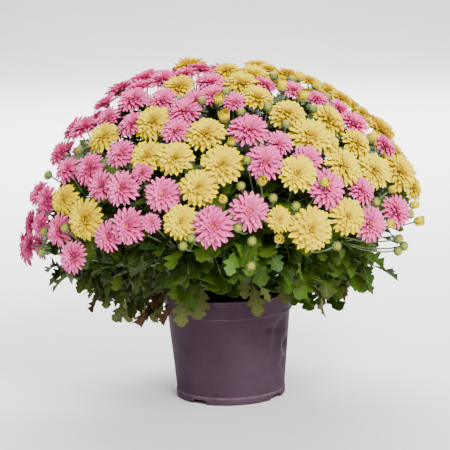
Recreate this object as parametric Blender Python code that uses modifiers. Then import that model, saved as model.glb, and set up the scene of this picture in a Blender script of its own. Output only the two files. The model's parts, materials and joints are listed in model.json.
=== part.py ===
"""A pot chrysanthemum in bloom: a tapered plastic pot filled with soil, a dozen
leafy stems that stand in it, and the sprays of pink and of yellow blooms that
the stems carry in one broad dome. Metres, +Z up, origin under the pot's middle.
"""
import math
import random

import bmesh
import bpy
import numpy as np
from mathutils import Matrix, Vector
from mathutils.bvhtree import BVHTree

# Driving dimensions
POT_HEIGHT = 0.138
POT_RIM_RADIUS = 0.085
POT_FOOT_RADIUS = 0.0695
RIM_BAND_HEIGHT = 0.024
POT_WALL = 0.0016
POT_FLOOR = 0.0080
SOIL_TOP = 0.123
DOME_CENTRE = Vector((0.0, 0.0, 0.188))
DOME_SIZE = Vector((0.254, 0.254, 0.240))
BLOOM_RADIUS = 0.025
LEAF_LENGTH = 0.048
LEAF_THICKNESS = 0.0009
CONTACT_GAP = 0.0003

# Stems: how far out from the heart of the plant, as a share of the way to the
# blooms, the knots, the branch ends and the forks of the sprays lie
HEART = Vector((0.0, 0.0, 0.118))
KNOT_SHARE = 0.30
BRANCH_SHARE = 0.60
FORK_SHARE = {"pink": 0.69, "yellow": 0.74}
STEM_DEPTH = 0.030
STEM_SPREAD = 0.060
STEM_RADIUS = 0.0032
BRANCH_RADIUS = 0.0022
SPRAY_STEM_RADIUS = 0.0017
STALK_RADIUS = 0.0012
LEAFY_STEMS = 12
SPRAYS = {"pink": 21, "yellow": 23}

# The front view that the bloom places are given in: a square of 450 points
VIEW_SIZE = 450
VIEW_FOCAL = 1768
VIEW_ROLL = math.radians(1.7)
EYE = Vector((0.0, -2.25, 0.60))
AIM = Vector((-0.0015, 0.0, 0.222))

# Blooms in that view: across, down and width
FRONT_BLOOMS = {
    "pink": [
        (106, 104, 32), (84, 128, 36), (61, 153, 32), (67, 170, 32), (89, 169, 38), (121, 154, 34),
        (39, 194, 30), (47, 201, 32), (28, 222, 30), (42, 224, 30), (60, 230, 36), (30, 246, 30),
        (74, 257, 36), (101, 187, 34), (123, 187, 40), (163, 194, 40), (128, 226, 40), (109, 236, 34),
        (151, 223, 22), (133, 100, 36), (140, 88, 32), (161, 80, 32), (184, 75, 30), (198, 70, 32),
        (211, 83, 34), (162, 101, 34), (183, 112, 36), (195, 101, 32), (213, 95, 32), (134, 124, 36),
        (108, 119, 32), (176, 131, 32), (249, 130, 44), (268, 163, 42), (213, 226, 46), (249, 212, 42),
        (278, 143, 30), (234, 102, 26), (265, 85, 28), (293, 90, 28), (317, 99, 26), (338, 108, 26),
        (354, 124, 36), (386, 148, 34), (405, 156, 28), (308, 160, 34), (325, 188, 44), (362, 191, 32),
        (370, 223, 40), (396, 211, 38), (141, 173, 24)],
    "yellow": [
        (258, 62, 30), (228, 71, 30), (253, 76, 36), (269, 70, 24), (286, 74, 26), (180, 87, 36),
        (240, 84, 38), (257, 98, 36), (154, 122, 42), (104, 137, 38), (147, 157, 40), (175, 158, 40),
        (206, 134, 44), (222, 165, 46), (200, 186, 42), (182, 222, 38), (64, 199, 34), (86, 218, 44),
        (288, 114, 40), (311, 137, 46), (327, 142, 26), (331, 121, 40), (341, 99, 28), (358, 105, 28),
        (371, 110, 24), (383, 124, 42), (401, 138, 28), (356, 144, 36), (344, 168, 44), (373, 168, 40),
        (399, 171, 42), (422, 184, 32), (298, 174, 42), (345, 213, 40), (311, 229, 48), (279, 219, 28),
        (314, 76, 24), (330, 85, 26)]}

# Half-open flowers in that view: across, down and width
FRONT_CUPS = [
    (219, 100, 14), (225, 117, 15), (231, 143, 11), (281, 86, 14), (303, 96, 15), (316, 85, 11),
    (301, 74, 11), (372, 136, 14), (262, 181, 13), (325, 184, 13), (223, 199, 12), (279, 239, 13),
    (390, 224, 12), (393, 190, 11), (414, 205, 11), (419, 221, 12)]

# Round buds in that view: across and down
FRONT_BUDS = [
    (201, 101), (226, 92), (241, 112), (268, 107), (286, 124), (247, 160), (241, 186), (273, 198),
    (238, 228), (252, 241), (251, 266), (191, 238), (183, 246), (296, 206), (337, 246), (375, 202),
    (410, 214), (399, 239), (404, 246), (398, 251), (273, 76), (292, 80), (313, 108), (328, 108),
    (328, 98), (79, 150), (48, 175), (42, 252), (44, 232), (65, 228)]
BUD_WIDTH = 9
BUD_LIFT = 0.012

# How a head turns off the dome's normal: at random, and towards the light in
# front, the low ones more than those at the top
RANDOM_TILT = 0.16
TOWARDS_EYE_LOW = 0.42
TOWARDS_EYE_TOP = 0.08

# Blooms that the front view doesn't show. None stands past the bare side's corner
BACK_SPACING = 0.045
BACK_BUDS = 8
PINK_SLOPE = 6.0
BACK_REACH = (0.955, 1.02)
BACK_BUD_RADIUS = 0.0055
BARE_SIDE = (380, 200)

# Crowded heads: steps of spreading, greatest step, and the thickness of a bloom
SPREAD_STEPS = 90
SPREAD_LIMIT = 0.004
BLOOM_THICKNESS = 0.34

OUTER_PETALS = 7
INNER_PETALS = 5
FLAT_ANGLE = math.radians(2)

# Leaves: share of the skirt's reach, rise above its lower edge and number of
# each tier under the blooms, then those between the blooms
SKIRT_TIERS = ((0.95, 0.004, 20), (0.55, 0.004, 20), (0.15, 0.004, 13), (0.70, 0.046, 15))
SKIRT_INNER = 0.112
SKIRT_OUTER = 0.237
BARE_SIDE_CUT = 0.045
SKIRT_LOW = 0.098
SKIRT_SLOPE = 0.38
FRONT_LIFT = 0.040
RIM_CLEARANCE = 0.092
UPPER_LEAVES = 22
UPPER_DEPTH = 0.88
LEAVES_LOWEST = 0.075
PETIOLE_RANGE = (0.008, 0.075)
GOLDEN_ANGLE = math.pi * (3 - math.sqrt(5))

# Tries at bending a run, a head or a leaf clear of its neighbours
STEM_SWEEPS = 3
RUN_TRIES = 60
HEAD_SWEEPS = 5
HEAD_TRIES = 45
LEAF_TRIES = 40

# Turned pieces, the pot's steps and foot, and the holes in the soil
TURN_STEPS = 28
BAND_STEP = 0.0050
FOOT_STEP = 0.0035
FOOT_LEDGE = 0.0085
PAD_RADIUS = 0.0200
PAD_HEIGHT = 0.0050
DRAIN_SLOTS = 4
SLOT_ANGLE = math.radians(-35)
SLOT_SIZE = (0.014, 0.019, 0.012)
STEM_HOLE_GAP = 0.0012

GREEN = (0.045, 0.115, 0.022)
COLOURS = {"pink": (0.60, 0.20, 0.42), "yellow": (0.90, 0.62, 0.01)}
POT_COLOUR = (0.052, 0.034, 0.052)
SOIL_COLOUR = (0.028, 0.018, 0.012)


# Shared geometry

def side_of(direction, turn=0.0):
    """A direction square to another one, turned about it."""
    direction = direction.normalized()
    guide = Vector((0.0, 0.0, 1.0)) if abs(direction.z) < 0.9 else Vector((1.0, 0.0, 0.0))
    across = guide.cross(direction).normalized()
    across.rotate(Matrix.Rotation(turn, 3, direction))
    return across


def ring(centre, direction, radii, lifts, side):
    """Points round a centre, from one side on, at radii and lifts given in turn."""
    direction = direction.normalized()
    across = (side - direction * side.dot(direction)).normalized()
    over = direction.cross(across)
    points = []
    for index, (radius, lift) in enumerate(zip(radii, lifts)):
        angle = math.tau * index / len(radii)
        out = across * math.cos(angle) + over * math.sin(angle)
        points.append(centre + out * radius + direction * lift)
    return points


def loft(rings, apex):
    """A closed skin over rings of unlike counts, from a flat first ring to an apex."""
    points = [point for each in rings for point in each] + [apex]
    starts = np.cumsum([0] + [len(each) for each in rings])
    faces = [tuple(reversed(range(len(rings[0]))))]
    for level in range(len(rings) - 1):
        low, high = len(rings[level]), len(rings[level + 1])
        i, j = 0, 0
        while i < low or j < high:
            here = starts[level] + i % low
            there = starts[level + 1] + j % high
            if (i + 1) * high <= (j + 1) * low:
                faces.append((here, starts[level] + (i + 1) % low, there))
                i += 1
            else:
                faces.append((here, starts[level + 1] + (j + 1) % high, there))
                j += 1
    top = len(rings[-1])
    for index in range(top):
        faces.append((starts[-2] + index, starts[-2] + (index + 1) % top, len(points) - 1))
    return points, [tuple(int(corner) for corner in face) for face in faces]


def view_axes():
    """The front view's forward, right and up, with its slight roll."""
    forward = (AIM - EYE).normalized()
    right = forward.cross(Vector((0.0, 0.0, 1.0))).normalized()
    up = right.cross(forward)
    rolled_right = right * math.cos(VIEW_ROLL) - up * math.sin(VIEW_ROLL)
    rolled_up = right * math.sin(VIEW_ROLL) + up * math.cos(VIEW_ROLL)
    return forward, rolled_right, rolled_up


def sight(across, down):
    """The line of sight from the eye through a point of the front view."""
    forward, right, up = view_axes()
    return forward * VIEW_FOCAL + right * (across - VIEW_SIZE / 2) + up * (VIEW_SIZE / 2 - down)


def seen_at(place):
    """The point of the front view that a place is seen at."""
    forward, right, up = view_axes()
    gap = place - EYE
    scale = VIEW_FOCAL / gap.dot(forward)
    return VIEW_SIZE / 2 + gap.dot(right) * scale, VIEW_SIZE / 2 - gap.dot(up) * scale


def on_dome(across, down):
    """Where that line meets the dome of blooms, or comes nearest to it."""
    shrink = Vector([1 / size for size in DOME_SIZE])
    start = (EYE - DOME_CENTRE) * shrink
    run = sight(across, down) * shrink
    nearest = -start.dot(run) / run.length_squared
    depth = 1 - (start + run * nearest).length_squared
    back = math.sqrt(max(0.0, depth) / run.length_squared)
    return DOME_CENTRE + (start + run * (nearest - back)).normalized() * DOME_SIZE


def dome_normal(place):
    return Vector([(p - c) / s ** 2 for p, c, s in zip(place, DOME_CENTRE, DOME_SIZE)]).normalized()


# Places of blooms, cups and buds

class Flower:
    """One bloom, cup or bud: where its head is, faces, and rises to when crowded."""

    def __init__(self, kind, colour, place, rise, radius, tilt, turn):
        self.kind = kind
        self.colour = colour
        self.place = place
        self.rise = rise
        self.radius = radius
        self.axis = (dome_normal(place) + tilt).normalized()
        self.turn = turn
        self.bend = Vector((0.0, 0.0, 0.0))


def flower_heads():
    """All the heads on the dome: the front ones as seen, the rest by a seeded draw."""
    rng = random.Random(17)

    def tilt():
        return Vector([rng.uniform(-RANDOM_TILT, RANDOM_TILT) for _ in range(3)])

    def seen(kind, colour, across, down, width, lift):
        place = on_dome(across, down)
        rise = (EYE - place).normalized()
        upright = dome_normal(place).z
        place += rise * lift
        radius = 0.5 * width * (place - EYE).length / VIEW_FOCAL
        lean = tilt() + rise * (TOWARDS_EYE_LOW + (TOWARDS_EYE_TOP - TOWARDS_EYE_LOW) * upright)
        heads.append(Flower(kind, colour, place, rise, radius, lean, rng.uniform(0, math.tau)))

    heads = []
    for colour in ("pink", "yellow"):
        for across, down, width in FRONT_BLOOMS[colour]:
            seen("bloom", colour, across, down, width, 0.0)
    for across, down, width in FRONT_CUPS:
        seen("cup", "yellow", across, down, width, BUD_LIFT)
    for across, down in FRONT_BUDS:
        seen("bud", "any", across, down, BUD_WIDTH, BUD_LIFT)
    back_buds = 0
    for _ in range(4000):
        angle = rng.uniform(0, math.tau)
        level = rng.uniform(0.0, 1.0)
        flat = math.sqrt(1 - level ** 2)
        out = Vector((flat * math.cos(angle), flat * math.sin(angle), level))
        place = DOME_CENTRE + out * DOME_SIZE * rng.uniform(*BACK_REACH)
        if dome_normal(place).dot((EYE - place).normalized()) > 0.02:
            continue
        across, down = seen_at(place)
        if across > BARE_SIDE[0] and down > BARE_SIDE[1]:
            continue
        gap = min((place - other.place).length for other in heads)
        colour = "pink" if rng.random() < 0.5 - PINK_SLOPE * place.x else "yellow"
        radius = BLOOM_RADIUS * rng.uniform(0.85, 1.1)
        rise = dome_normal(place)
        if gap > BACK_SPACING:
            turn = rng.uniform(0, math.tau)
            heads.append(Flower("bloom", colour, place, rise, radius, tilt(), turn))
        elif gap > 0.6 * BACK_SPACING and back_buds < BACK_BUDS:
            place += rise * BUD_LIFT
            heads.append(Flower("bud", "any", place, rise, BACK_BUD_RADIUS, tilt(), 0.0))
            back_buds += 1
    return heads


def spread_heads(heads):
    """Lift and shift crowded heads until they clear each other, as growth does."""
    places = np.array([head.place for head in heads], dtype=float)
    homes = places.copy()
    axes = np.array([head.rise for head in heads], dtype=float)
    radii = np.array([head.radius for head in heads])
    heights = np.where([head.kind == "bloom" for head in heads], BLOOM_THICKNESS * radii, radii)
    reach = radii[:, None] + radii[None, :]
    depth = heights[:, None] + heights[None, :]
    for _ in range(SPREAD_STEPS):
        step = places[:, None, :] - places[None, :, :]
        normal = axes[:, None, :] + axes[None, :, :]
        normal /= np.linalg.norm(normal, axis=2, keepdims=True)
        rise = (step * normal).sum(axis=2)
        flat = step - normal * rise[:, :, None]
        width = np.linalg.norm(flat, axis=2)
        near = np.sqrt((width / reach) ** 2 + (rise / depth) ** 2)
        push = np.clip(1.0 - near, 0.0, 1.0)
        np.fill_diagonal(push, 0.0)
        upward = np.where(rise >= 0, 1.0, -1.0) * depth * push * 0.4
        sideways = reach * push * 0.12 / np.maximum(width, 1e-6)
        move = (normal * upward[:, :, None]).sum(axis=1) + (flat * sideways[:, :, None]).sum(axis=1)
        places += np.clip(move, -SPREAD_LIMIT, SPREAD_LIMIT) + (homes - places) * 0.03
    for head, place in zip(heads, places):
        head.place = Vector(place)


def gather(places, count):
    """Share places out among so many groups of neighbours."""
    places = np.array(places, dtype=float)
    centres = [places[0]]
    while len(centres) < count:
        gaps = np.min([np.linalg.norm(places - centre, axis=1) for centre in centres], axis=0)
        centres.append(places[int(np.argmax(gaps))])
    centres = np.array(centres)
    for _ in range(20):
        owner = np.argmin(np.linalg.norm(places[:, None] - centres[None], axis=2), axis=1)
        for index in range(count):
            if np.any(owner == index):
                centres[index] = places[owner == index].mean(axis=0)
    return owner


class Spray:
    """Neighbouring heads of one colour on the stalks of one fork."""

    def __init__(self, name, colour, heads):
        self.name = name
        self.colour = colour
        self.heads = heads
        blooms = [head.place for head in heads if head.kind == "bloom"]
        self.middle = sum(blooms, Vector()) / len(blooms)
        self.fork = HEART.lerp(self.middle, FORK_SHARE[colour])
        self.foot = HEART.lerp(self.middle, BRANCH_SHARE)
        self.heading = Vector((0.0, 0.0, 1.0))
        self.bend = Vector((0.0, 0.0, 0.0))
        self.branch_bend = Vector((0.0, 0.0, 0.0))

    def stem_route(self):
        """From just off the end of its branch, first in line with it, to the fork."""
        start = self.foot + self.heading * CONTACT_GAP
        middle = start.lerp(self.fork, 0.5) + self.bend
        return [start, start + self.heading * 0.004, middle, self.fork]

    def stalk_root(self, index):
        """Stalks leave the stem one above the other; the first head ends it."""
        share = 1.0 - 0.8 * index / max(len(self.heads), 6)
        route = self.stem_route()
        if share > 0.5:
            return route[2].lerp(route[3], 2 * share - 1)
        return route[1].lerp(route[2], 2 * share)


def sprays_of(heads):
    sprays = []
    for colour in ("pink", "yellow"):
        blooms = [head for head in heads if head.kind == "bloom" and head.colour == colour]
        owner = gather([head.place for head in blooms], SPRAYS[colour])
        for index in range(SPRAYS[colour]):
            members = [head for head, group in zip(blooms, owner) if group == index]
            if members:
                sprays.append(Spray("%s_spray_%02d" % (colour, index + 1), colour, members))
    for head in heads:
        if head.kind != "bloom":
            fits = [s for s in sprays if head.colour in ("any", s.colour)]
            nearest = min(fits, key=lambda s: min((head.place - m.place).length for m in s.heads))
            nearest.heads.append(head)
    for spray in sprays:
        spray.heads.sort(key=lambda head: (head.place - spray.middle).length)
    return sprays


class LeafyStem:
    """A stem from the soil to its knot, with a branch to the foot of each spray."""

    def __init__(self, name, sprays):
        self.name = name
        self.sprays = sprays
        middle = sum((spray.middle for spray in sprays), Vector()) / len(sprays)
        self.knot = HEART.lerp(middle, KNOT_SHARE)
        flat = Vector((self.knot.x, self.knot.y, 0.0))
        lean = math.atan2(flat.length, max(self.knot.z - HEART.z, 0.001)) / (math.pi / 2)
        spot = flat.normalized() * STEM_SPREAD * min(lean, 1.0)
        self.root = Vector((spot.x, spot.y, SOIL_TOP - STEM_DEPTH))
        self.collar = Vector((spot.x, spot.y, SOIL_TOP + 0.008))
        for spray in sprays:
            spray.heading = (spray.foot - self.knot).normalized()

    def branch_route(self, spray):
        """From the knot to a spray's foot, ending in line with the spray's stem."""
        before = spray.foot - spray.heading * 0.004
        return [self.knot, self.knot.lerp(before, 0.5) + spray.branch_bend, before, spray.foot]

    def runs(self):
        """The stretches that can carry leaves."""
        stretches = [(self.collar, self.knot)]
        for spray in self.sprays:
            route = self.branch_route(spray)
            stretches += [(route[0], route[1]), (route[1], route[2])]
        return stretches


# Solids

def mesh_object(name, points, faces, collection):
    mesh = bpy.data.meshes.new(name)
    mesh.from_pydata([tuple(point) for point in points], [], faces)
    thing = bpy.data.objects.new(name, mesh)
    collection.objects.link(thing)
    return thing


def tube(name, route, radius, collection):
    """A slim round run through the points of a route, closed at both ends."""
    curve = bpy.data.curves.new(name, "CURVE")
    curve.dimensions = "3D"
    curve.bevel_depth = radius
    curve.bevel_resolution = 0
    curve.use_fill_caps = True
    spline = curve.splines.new("POLY")
    spline.points.add(len(route) - 1)
    for point, place in zip(spline.points, route):
        point.co = (*place, 1.0)
    guide = bpy.data.objects.new(name, curve)
    collection.objects.link(guide)
    bpy.context.view_layer.update()
    evaluated = guide.evaluated_get(bpy.context.evaluated_depsgraph_get())
    mesh = bpy.data.meshes.new_from_object(evaluated)
    bpy.data.objects.remove(guide)
    shape = bmesh.new()
    shape.from_mesh(mesh)
    bmesh.ops.remove_doubles(shape, verts=shape.verts, dist=0.00001)
    shape.to_mesh(mesh)
    shape.free()
    thing = bpy.data.objects.new(name, mesh)
    collection.objects.link(thing)
    return thing


def knob(name, place, radius, collection):
    """The small swelling where stalks or branches part."""
    shape = bmesh.new()
    bmesh.ops.create_icosphere(shape, subdivisions=1, radius=radius, matrix=Matrix.Translation(place))
    mesh = bpy.data.meshes.new(name)
    shape.to_mesh(mesh)
    shape.free()
    thing = bpy.data.objects.new(name, mesh)
    collection.objects.link(thing)
    return thing


def head_solid(head, fork):
    """A stalk from its fork and the bloom, cup or bud that it ends in, as one skin."""
    radius, axis, place = head.radius, head.axis, head.place
    neck = place - axis * 0.35 * radius
    knee = fork.lerp(neck, 0.55) + (neck - fork).length * 0.10 * axis + head.bend
    stalk = [STALK_RADIUS] * 3
    flat = [0.0] * 3
    side = side_of(axis, head.turn)
    rings = [ring(fork, knee - fork, stalk, flat, side), ring(knee, neck - fork, stalk, flat, side)]
    rings.append(ring(neck, axis, [1.4 * STALK_RADIUS] * 3, flat, side))
    if head.kind == "bud":
        rings.append(ring(place, axis, [radius] * 4, [0.0] * 4, side))
        return loft(rings, place + axis * 0.9 * radius)
    if head.kind == "cup":
        rings.append(ring(place, axis, [0.85 * radius] * 4, [0.0] * 4, side))
        sizes = [0.95 * radius, 0.6 * radius] * 4
        rings.append(ring(place, axis, sizes, [1.1 * radius, 0.8 * radius] * 4, side))
        return loft(rings, place + axis * 0.75 * radius)
    outer = [radius, 0.60 * radius] * OUTER_PETALS
    rings.append(ring(place, axis, outer, [0.03 * radius, -0.04 * radius] * OUTER_PETALS, side))
    inner = [0.60 * radius, 0.34 * radius] * INNER_PETALS
    rings.append(ring(place, axis, inner, [0.32 * radius, 0.20 * radius] * INNER_PETALS, side))
    return loft(rings, place + axis * 0.27 * radius)


def leaf_solid(plan, shift, root):
    """A lobed blade that bends down to its tip, and the strip of its petiole to a root."""
    rows = [(0.0, 0.0012), (0.30, 0.31 * plan.length), (0.46, 0.15 * plan.length),
            (0.70, 0.27 * plan.length), (1.0, 0.0)]
    centres, ups = plan.spine([share for share, _ in rows])
    joint = shift + centres[0]
    strip = (joint - root).normalized()
    base_side = (plan.side - strip * plan.side.dot(strip)).normalized()
    sections = [(root, base_side, base_side.cross(strip), 0.0011)]
    for (_, half), centre, up in zip(rows, centres, ups):
        sections.append((shift + centre, plan.side, up, half))
    points = []
    for centre, side, up, half in sections[:-1]:
        for lift in (0.5, -0.5):
            points.append(centre + side * half + up * LEAF_THICKNESS * lift)
            points.append(centre - side * half + up * LEAF_THICKNESS * lift)
    tip, _, up, _ = sections[-1]
    points += [tip + up * LEAF_THICKNESS * 0.5, tip - up * LEAF_THICKNESS * 0.5]
    faces = [(0, 1, 3), (0, 3, 2)]
    last = len(sections) - 2
    for row in range(last):
        a, b = 4 * row, 4 * row + 4
        for left, right in ((1, 0), (0, 2), (2, 3), (3, 1)):
            faces.append((a + left, a + right, b + right))
            faces.append((a + left, b + right, b + left))
    a, top, low = 4 * last, 4 * last + 4, 4 * last + 5
    faces += [(a + 1, a, top), (a + 2, a + 3, low), (a, a + 2, low), (a, low, top),
              (a + 3, a + 1, top), (a + 3, top, low)]
    return points, faces


def tree_of(solid):
    points, faces = solid
    return BVHTree.FromPolygons([tuple(point) for point in points], faces)


class Obstacles:
    """The solids placed so far, each under the name of the node it belongs to."""

    def __init__(self):
        self.entries = {}

    def put(self, key, node, points, tree):
        low = np.min(np.array([tuple(p) for p in points]), axis=0)
        high = np.max(np.array([tuple(p) for p in points]), axis=0)
        self.entries[key] = (node, low, high, tree)

    def hits(self, key, node, points, tree):
        cloud = np.array([tuple(p) for p in points])
        low, high = cloud.min(axis=0), cloud.max(axis=0)
        total = 0
        for other, (owner, other_low, other_high, other_tree) in self.entries.items():
            if owner == node or other == key:
                continue
            if np.any(low > other_high) or np.any(other_low > high):
                continue
            total += len(tree.overlap(other_tree))
        return total


def clear_way(key, node, make, rng, obstacles):
    """The bend, of growing draws, that keeps a run's solid clear of all others."""
    kept = Vector((0.0, 0.0, 0.0))
    solid = make(kept)
    best = obstacles.hits(key, node, solid[0], tree_of(solid))
    for attempt in range(RUN_TRIES):
        if best == 0:
            break
        reach = 0.001 + 0.0003 * attempt
        bend = Vector([rng.uniform(-reach, reach) for _ in range(3)])
        solid = make(bend)
        count = obstacles.hits(key, node, solid[0], tree_of(solid))
        if count < best:
            best = count
            kept = bend
    solid = make(kept)
    obstacles.put(key, node, solid[0], tree_of(solid))
    return kept, best


def run_solid(route, radius):
    """The skin of a slim run, to test where it may pass."""
    side = side_of(route[-1] - route[0])
    rings = []
    for index, place in enumerate(route):
        ahead = route[min(index + 1, len(route) - 1)] - route[max(index - 1, 0)]
        rings.append(ring(place, ahead, [radius] * 4, [0.0] * 4, side))
    return loft(rings, route[-1] + (route[-1] - route[-2]).normalized() * 0.0001)


def untangle_stems(stems, obstacles):
    """Bend branches and the sprays' own stems clear of each other."""
    rng = random.Random(11)
    for stem in stems:
        solid = run_solid([stem.root, stem.collar, stem.knot], 1.3 * STEM_RADIUS)
        obstacles.put((stem.name, "main"), stem.name, solid[0], tree_of(solid))
    for _ in range(STEM_SWEEPS):
        crossed = 0
        for stem in stems:
            for spray in stem.sprays:

                def branch(bend):
                    spray.branch_bend = bend
                    return run_solid(stem.branch_route(spray), 1.2 * BRANCH_RADIUS)

                def spray_stem(bend):
                    spray.bend = bend
                    return run_solid(spray.stem_route(), 1.2 * SPRAY_STEM_RADIUS)

                branch_key, stem_key = (stem.name, spray.name), (spray.name, "stem")
                spray.branch_bend, hits = clear_way(branch_key, stem.name, branch, rng, obstacles)
                crossed += hits
                spray.bend, hits = clear_way(stem_key, spray.name, spray_stem, rng, obstacles)
                crossed += hits
        if crossed == 0:
            break


def nudge_head(head, key, root, rng, sweep, obstacles):
    """Shift, tilt and shrink one head, a little more at each try, until it is clear."""
    solid = head_solid(head, root)
    best = obstacles.hits(key, key[0], solid[0], tree_of(solid))
    if best == 0:
        return 0
    start = kept = (head.place, head.axis, head.bend, head.radius)
    for attempt in range(HEAD_TRIES):
        reach = 0.001 + 0.00018 * attempt + 0.001 * sweep
        rise = head.rise * rng.uniform(-1.2, 1.2) * reach
        slide = Vector([rng.uniform(-0.5, 0.5) * reach for _ in range(3)])
        tilt = Vector([rng.uniform(-0.024, 0.024) * attempt ** 0.5 for _ in range(3)])
        sway = Vector([rng.uniform(-2.0, 2.0) * reach for _ in range(3)])
        head.place = start[0] + rise + slide
        head.axis = (start[1] + tilt).normalized()
        head.bend = start[2] + sway
        head.radius = start[3] * (1.0 - 0.0018 * attempt)
        solid = head_solid(head, root)
        tree = tree_of(solid)
        count = obstacles.hits(key, key[0], solid[0], tree)
        if count < best:
            best = count
            kept = (head.place, head.axis, head.bend, head.radius)
            obstacles.put(key, key[0], solid[0], tree)
        if best == 0:
            break
    head.place, head.axis, head.bend, head.radius = kept
    return best


def untangle_heads(sprays, obstacles):
    """Bend stalks and nudge heads until no spray crosses another."""
    rng = random.Random(5)
    for spray in sprays:
        for index, head in enumerate(spray.heads):
            solid = head_solid(head, spray.stalk_root(index))
            obstacles.put((spray.name, index), spray.name, solid[0], tree_of(solid))
    for sweep in range(HEAD_SWEEPS):
        crossed = 0
        for spray in sprays:
            for index, head in enumerate(spray.heads):
                key = (spray.name, index)
                crossed += nudge_head(head, key, spray.stalk_root(index), rng, sweep, obstacles)
        if crossed == 0:
            break


def skirt_floor(angle, radius):
    """The lowest that leaves hang, at an angle from the right and a distance out."""
    front = max(0.0, -math.sin(angle)) ** 2
    return SKIRT_LOW + SKIRT_SLOPE * (radius - 0.10) + FRONT_LIFT * front


class LeafPlan:
    """Where a leaf's tip is to be, which way it points and how it bends."""

    def __init__(self, tip, heading, dip, droop, length, roll):
        self.tip = tip
        self.length = length
        self.droop = max(0.0, min(droop, math.pi + 2 * dip))
        climb = dip + 0.5 * self.droop
        flat = math.cos(climb)
        self.way = Vector((math.cos(heading) * flat, math.sin(heading) * flat, math.sin(climb)))
        self.side = self.way.cross(Vector((0.0, 0.0, 1.0))).normalized()
        self.side.rotate(Matrix.Rotation(roll, 3, self.way))

    def spine(self, shares):
        """Points along the midrib, ending at the tip, and the upward way at each."""
        centres, ups = [], []
        here = Vector((0.0, 0.0, 0.0))
        last = 0.0
        for share in shares:
            bent = self.way.copy()
            bent.rotate(Matrix.Rotation(-self.droop * share, 3, self.side))
            here = here + bent * (share - last) * self.length
            last = share
            centres.append(here)
            ups.append(self.side.cross(bent).normalized())
        return [self.tip + centre - here for centre in centres], ups


def plan_leaves(rng):
    """A skirt of leaves in tiers under the blooms, and leaves between the blooms."""
    plans = []
    for share, rise, count in SKIRT_TIERS:
        for index in range(count):
            angle = math.tau * (index + rng.uniform(-0.25, 0.25)) / count
            outer = SKIRT_OUTER - BARE_SIDE_CUT * max(0.0, math.cos(angle))
            radius = SKIRT_INNER + (outer - SKIRT_INNER) * share
            height = skirt_floor(angle, radius) + rise
            tip = Vector((radius * math.cos(angle), radius * math.sin(angle), height))
            length = LEAF_LENGTH * rng.uniform(0.85, 1.15)
            dip = rng.uniform(-0.75, -0.10)
            if height < SKIRT_LOW + 0.05:
                run = min(0.8 * length, radius - RIM_CLEARANCE)
                dip = min(dip, -math.acos(max(run, 0.2 * length) / length))
            heading = angle + rng.uniform(-0.5, 0.5)
            plans.append(LeafPlan(tip, heading, dip, rng.uniform(0.3, 0.9), length, rng.uniform(-0.5, 0.5)))
    for index in range(UPPER_LEAVES):
        level = 0.12 + 0.86 * (index + 0.5) / UPPER_LEAVES
        angle = index * GOLDEN_ANGLE
        flat = math.sqrt(1 - level ** 2)
        out = Vector((flat * math.cos(angle), flat * math.sin(angle), level))
        tip = HEART.lerp(DOME_CENTRE + out * DOME_SIZE, UPPER_DEPTH)
        dip = 0.75 * math.atan2(level, flat) + rng.uniform(-0.5, 0.3)
        length = LEAF_LENGTH * rng.uniform(0.75, 1.0)
        plans.append(LeafPlan(tip, angle, dip, rng.uniform(0.1, 0.6), length, rng.uniform(-0.5, 0.5)))
    return plans


def nearest_root(joint, stems):
    """The stem, and the place on it, that a leaf's petiole comes from."""
    choices = []
    for index, stem in enumerate(stems):
        for start, end in stem.runs():
            share = (joint - start).dot(end - start) / (end - start).length_squared
            root = start.lerp(end, min(max(share - 0.25, 0.08), 0.92))
            choices.append(((joint - root).length, index, root))
    return min(choices, key=lambda choice: choice[0])


def grow_leaves(stems, obstacles):
    """Each planned leaf where it crosses nothing else, as a list for each stem."""
    rng = random.Random(23)
    leaves = [[] for _ in stems]
    for number, plan in enumerate(plan_leaves(rng)):
        for attempt in range(LEAF_TRIES):
            spread = 0.004 + 0.0008 * attempt
            shift = Vector([rng.uniform(-spread, spread) for _ in range(3)])
            joint = plan.spine([0.0, 1.0])[0][0] + shift
            gap, index, root = nearest_root(joint, stems)
            if not PETIOLE_RANGE[0] < gap < PETIOLE_RANGE[1]:
                continue
            solid = leaf_solid(plan, shift, root)
            if min(point.z for point in solid[0]) < LEAVES_LOWEST:
                continue
            tree = tree_of(solid)
            if any(tree.overlap(tree_of(other)) for other in leaves[index]):
                continue
            if obstacles.hits(("leaf", number), stems[index].name, solid[0], tree) == 0:
                obstacles.put(("leaf", number), stems[index].name, solid[0], tree)
                leaves[index].append(solid)
                break
    return leaves


def pot_barrier(obstacles):
    """The pot's outside as a plain wall, to keep leaves and stems out of it."""
    angles = [math.tau * step / TURN_STEPS for step in range(TURN_STEPS)]
    points = [Vector((POT_RIM_RADIUS * math.cos(angle), POT_RIM_RADIUS * math.sin(angle), height))
              for height in (0.0, POT_HEIGHT + 0.001) for angle in angles]
    walls = []
    for step in range(TURN_STEPS):
        after = (step + 1) % TURN_STEPS
        walls.append((step, after, TURN_STEPS + after, TURN_STEPS + step))
    obstacles.put("pot", "pot", points, tree_of((points, walls)))


def turned(name, profile, collection):
    """A solid turned about the upright axis from its outer profile, top to bottom."""
    mesh = bpy.data.meshes.new(name)
    edges = [(index, index + 1) for index in range(len(profile) - 1)]
    mesh.from_pydata([(radius, 0.0, height) for radius, height in profile], edges, [])
    thing = bpy.data.objects.new(name, mesh)
    collection.objects.link(thing)
    screw = thing.modifiers.new("turn", "SCREW")
    screw.steps = TURN_STEPS
    screw.render_steps = TURN_STEPS
    screw.use_merge_vertices = True
    screw.merge_threshold = 0.00005
    screw.use_smooth_shade = True
    return thing


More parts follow.
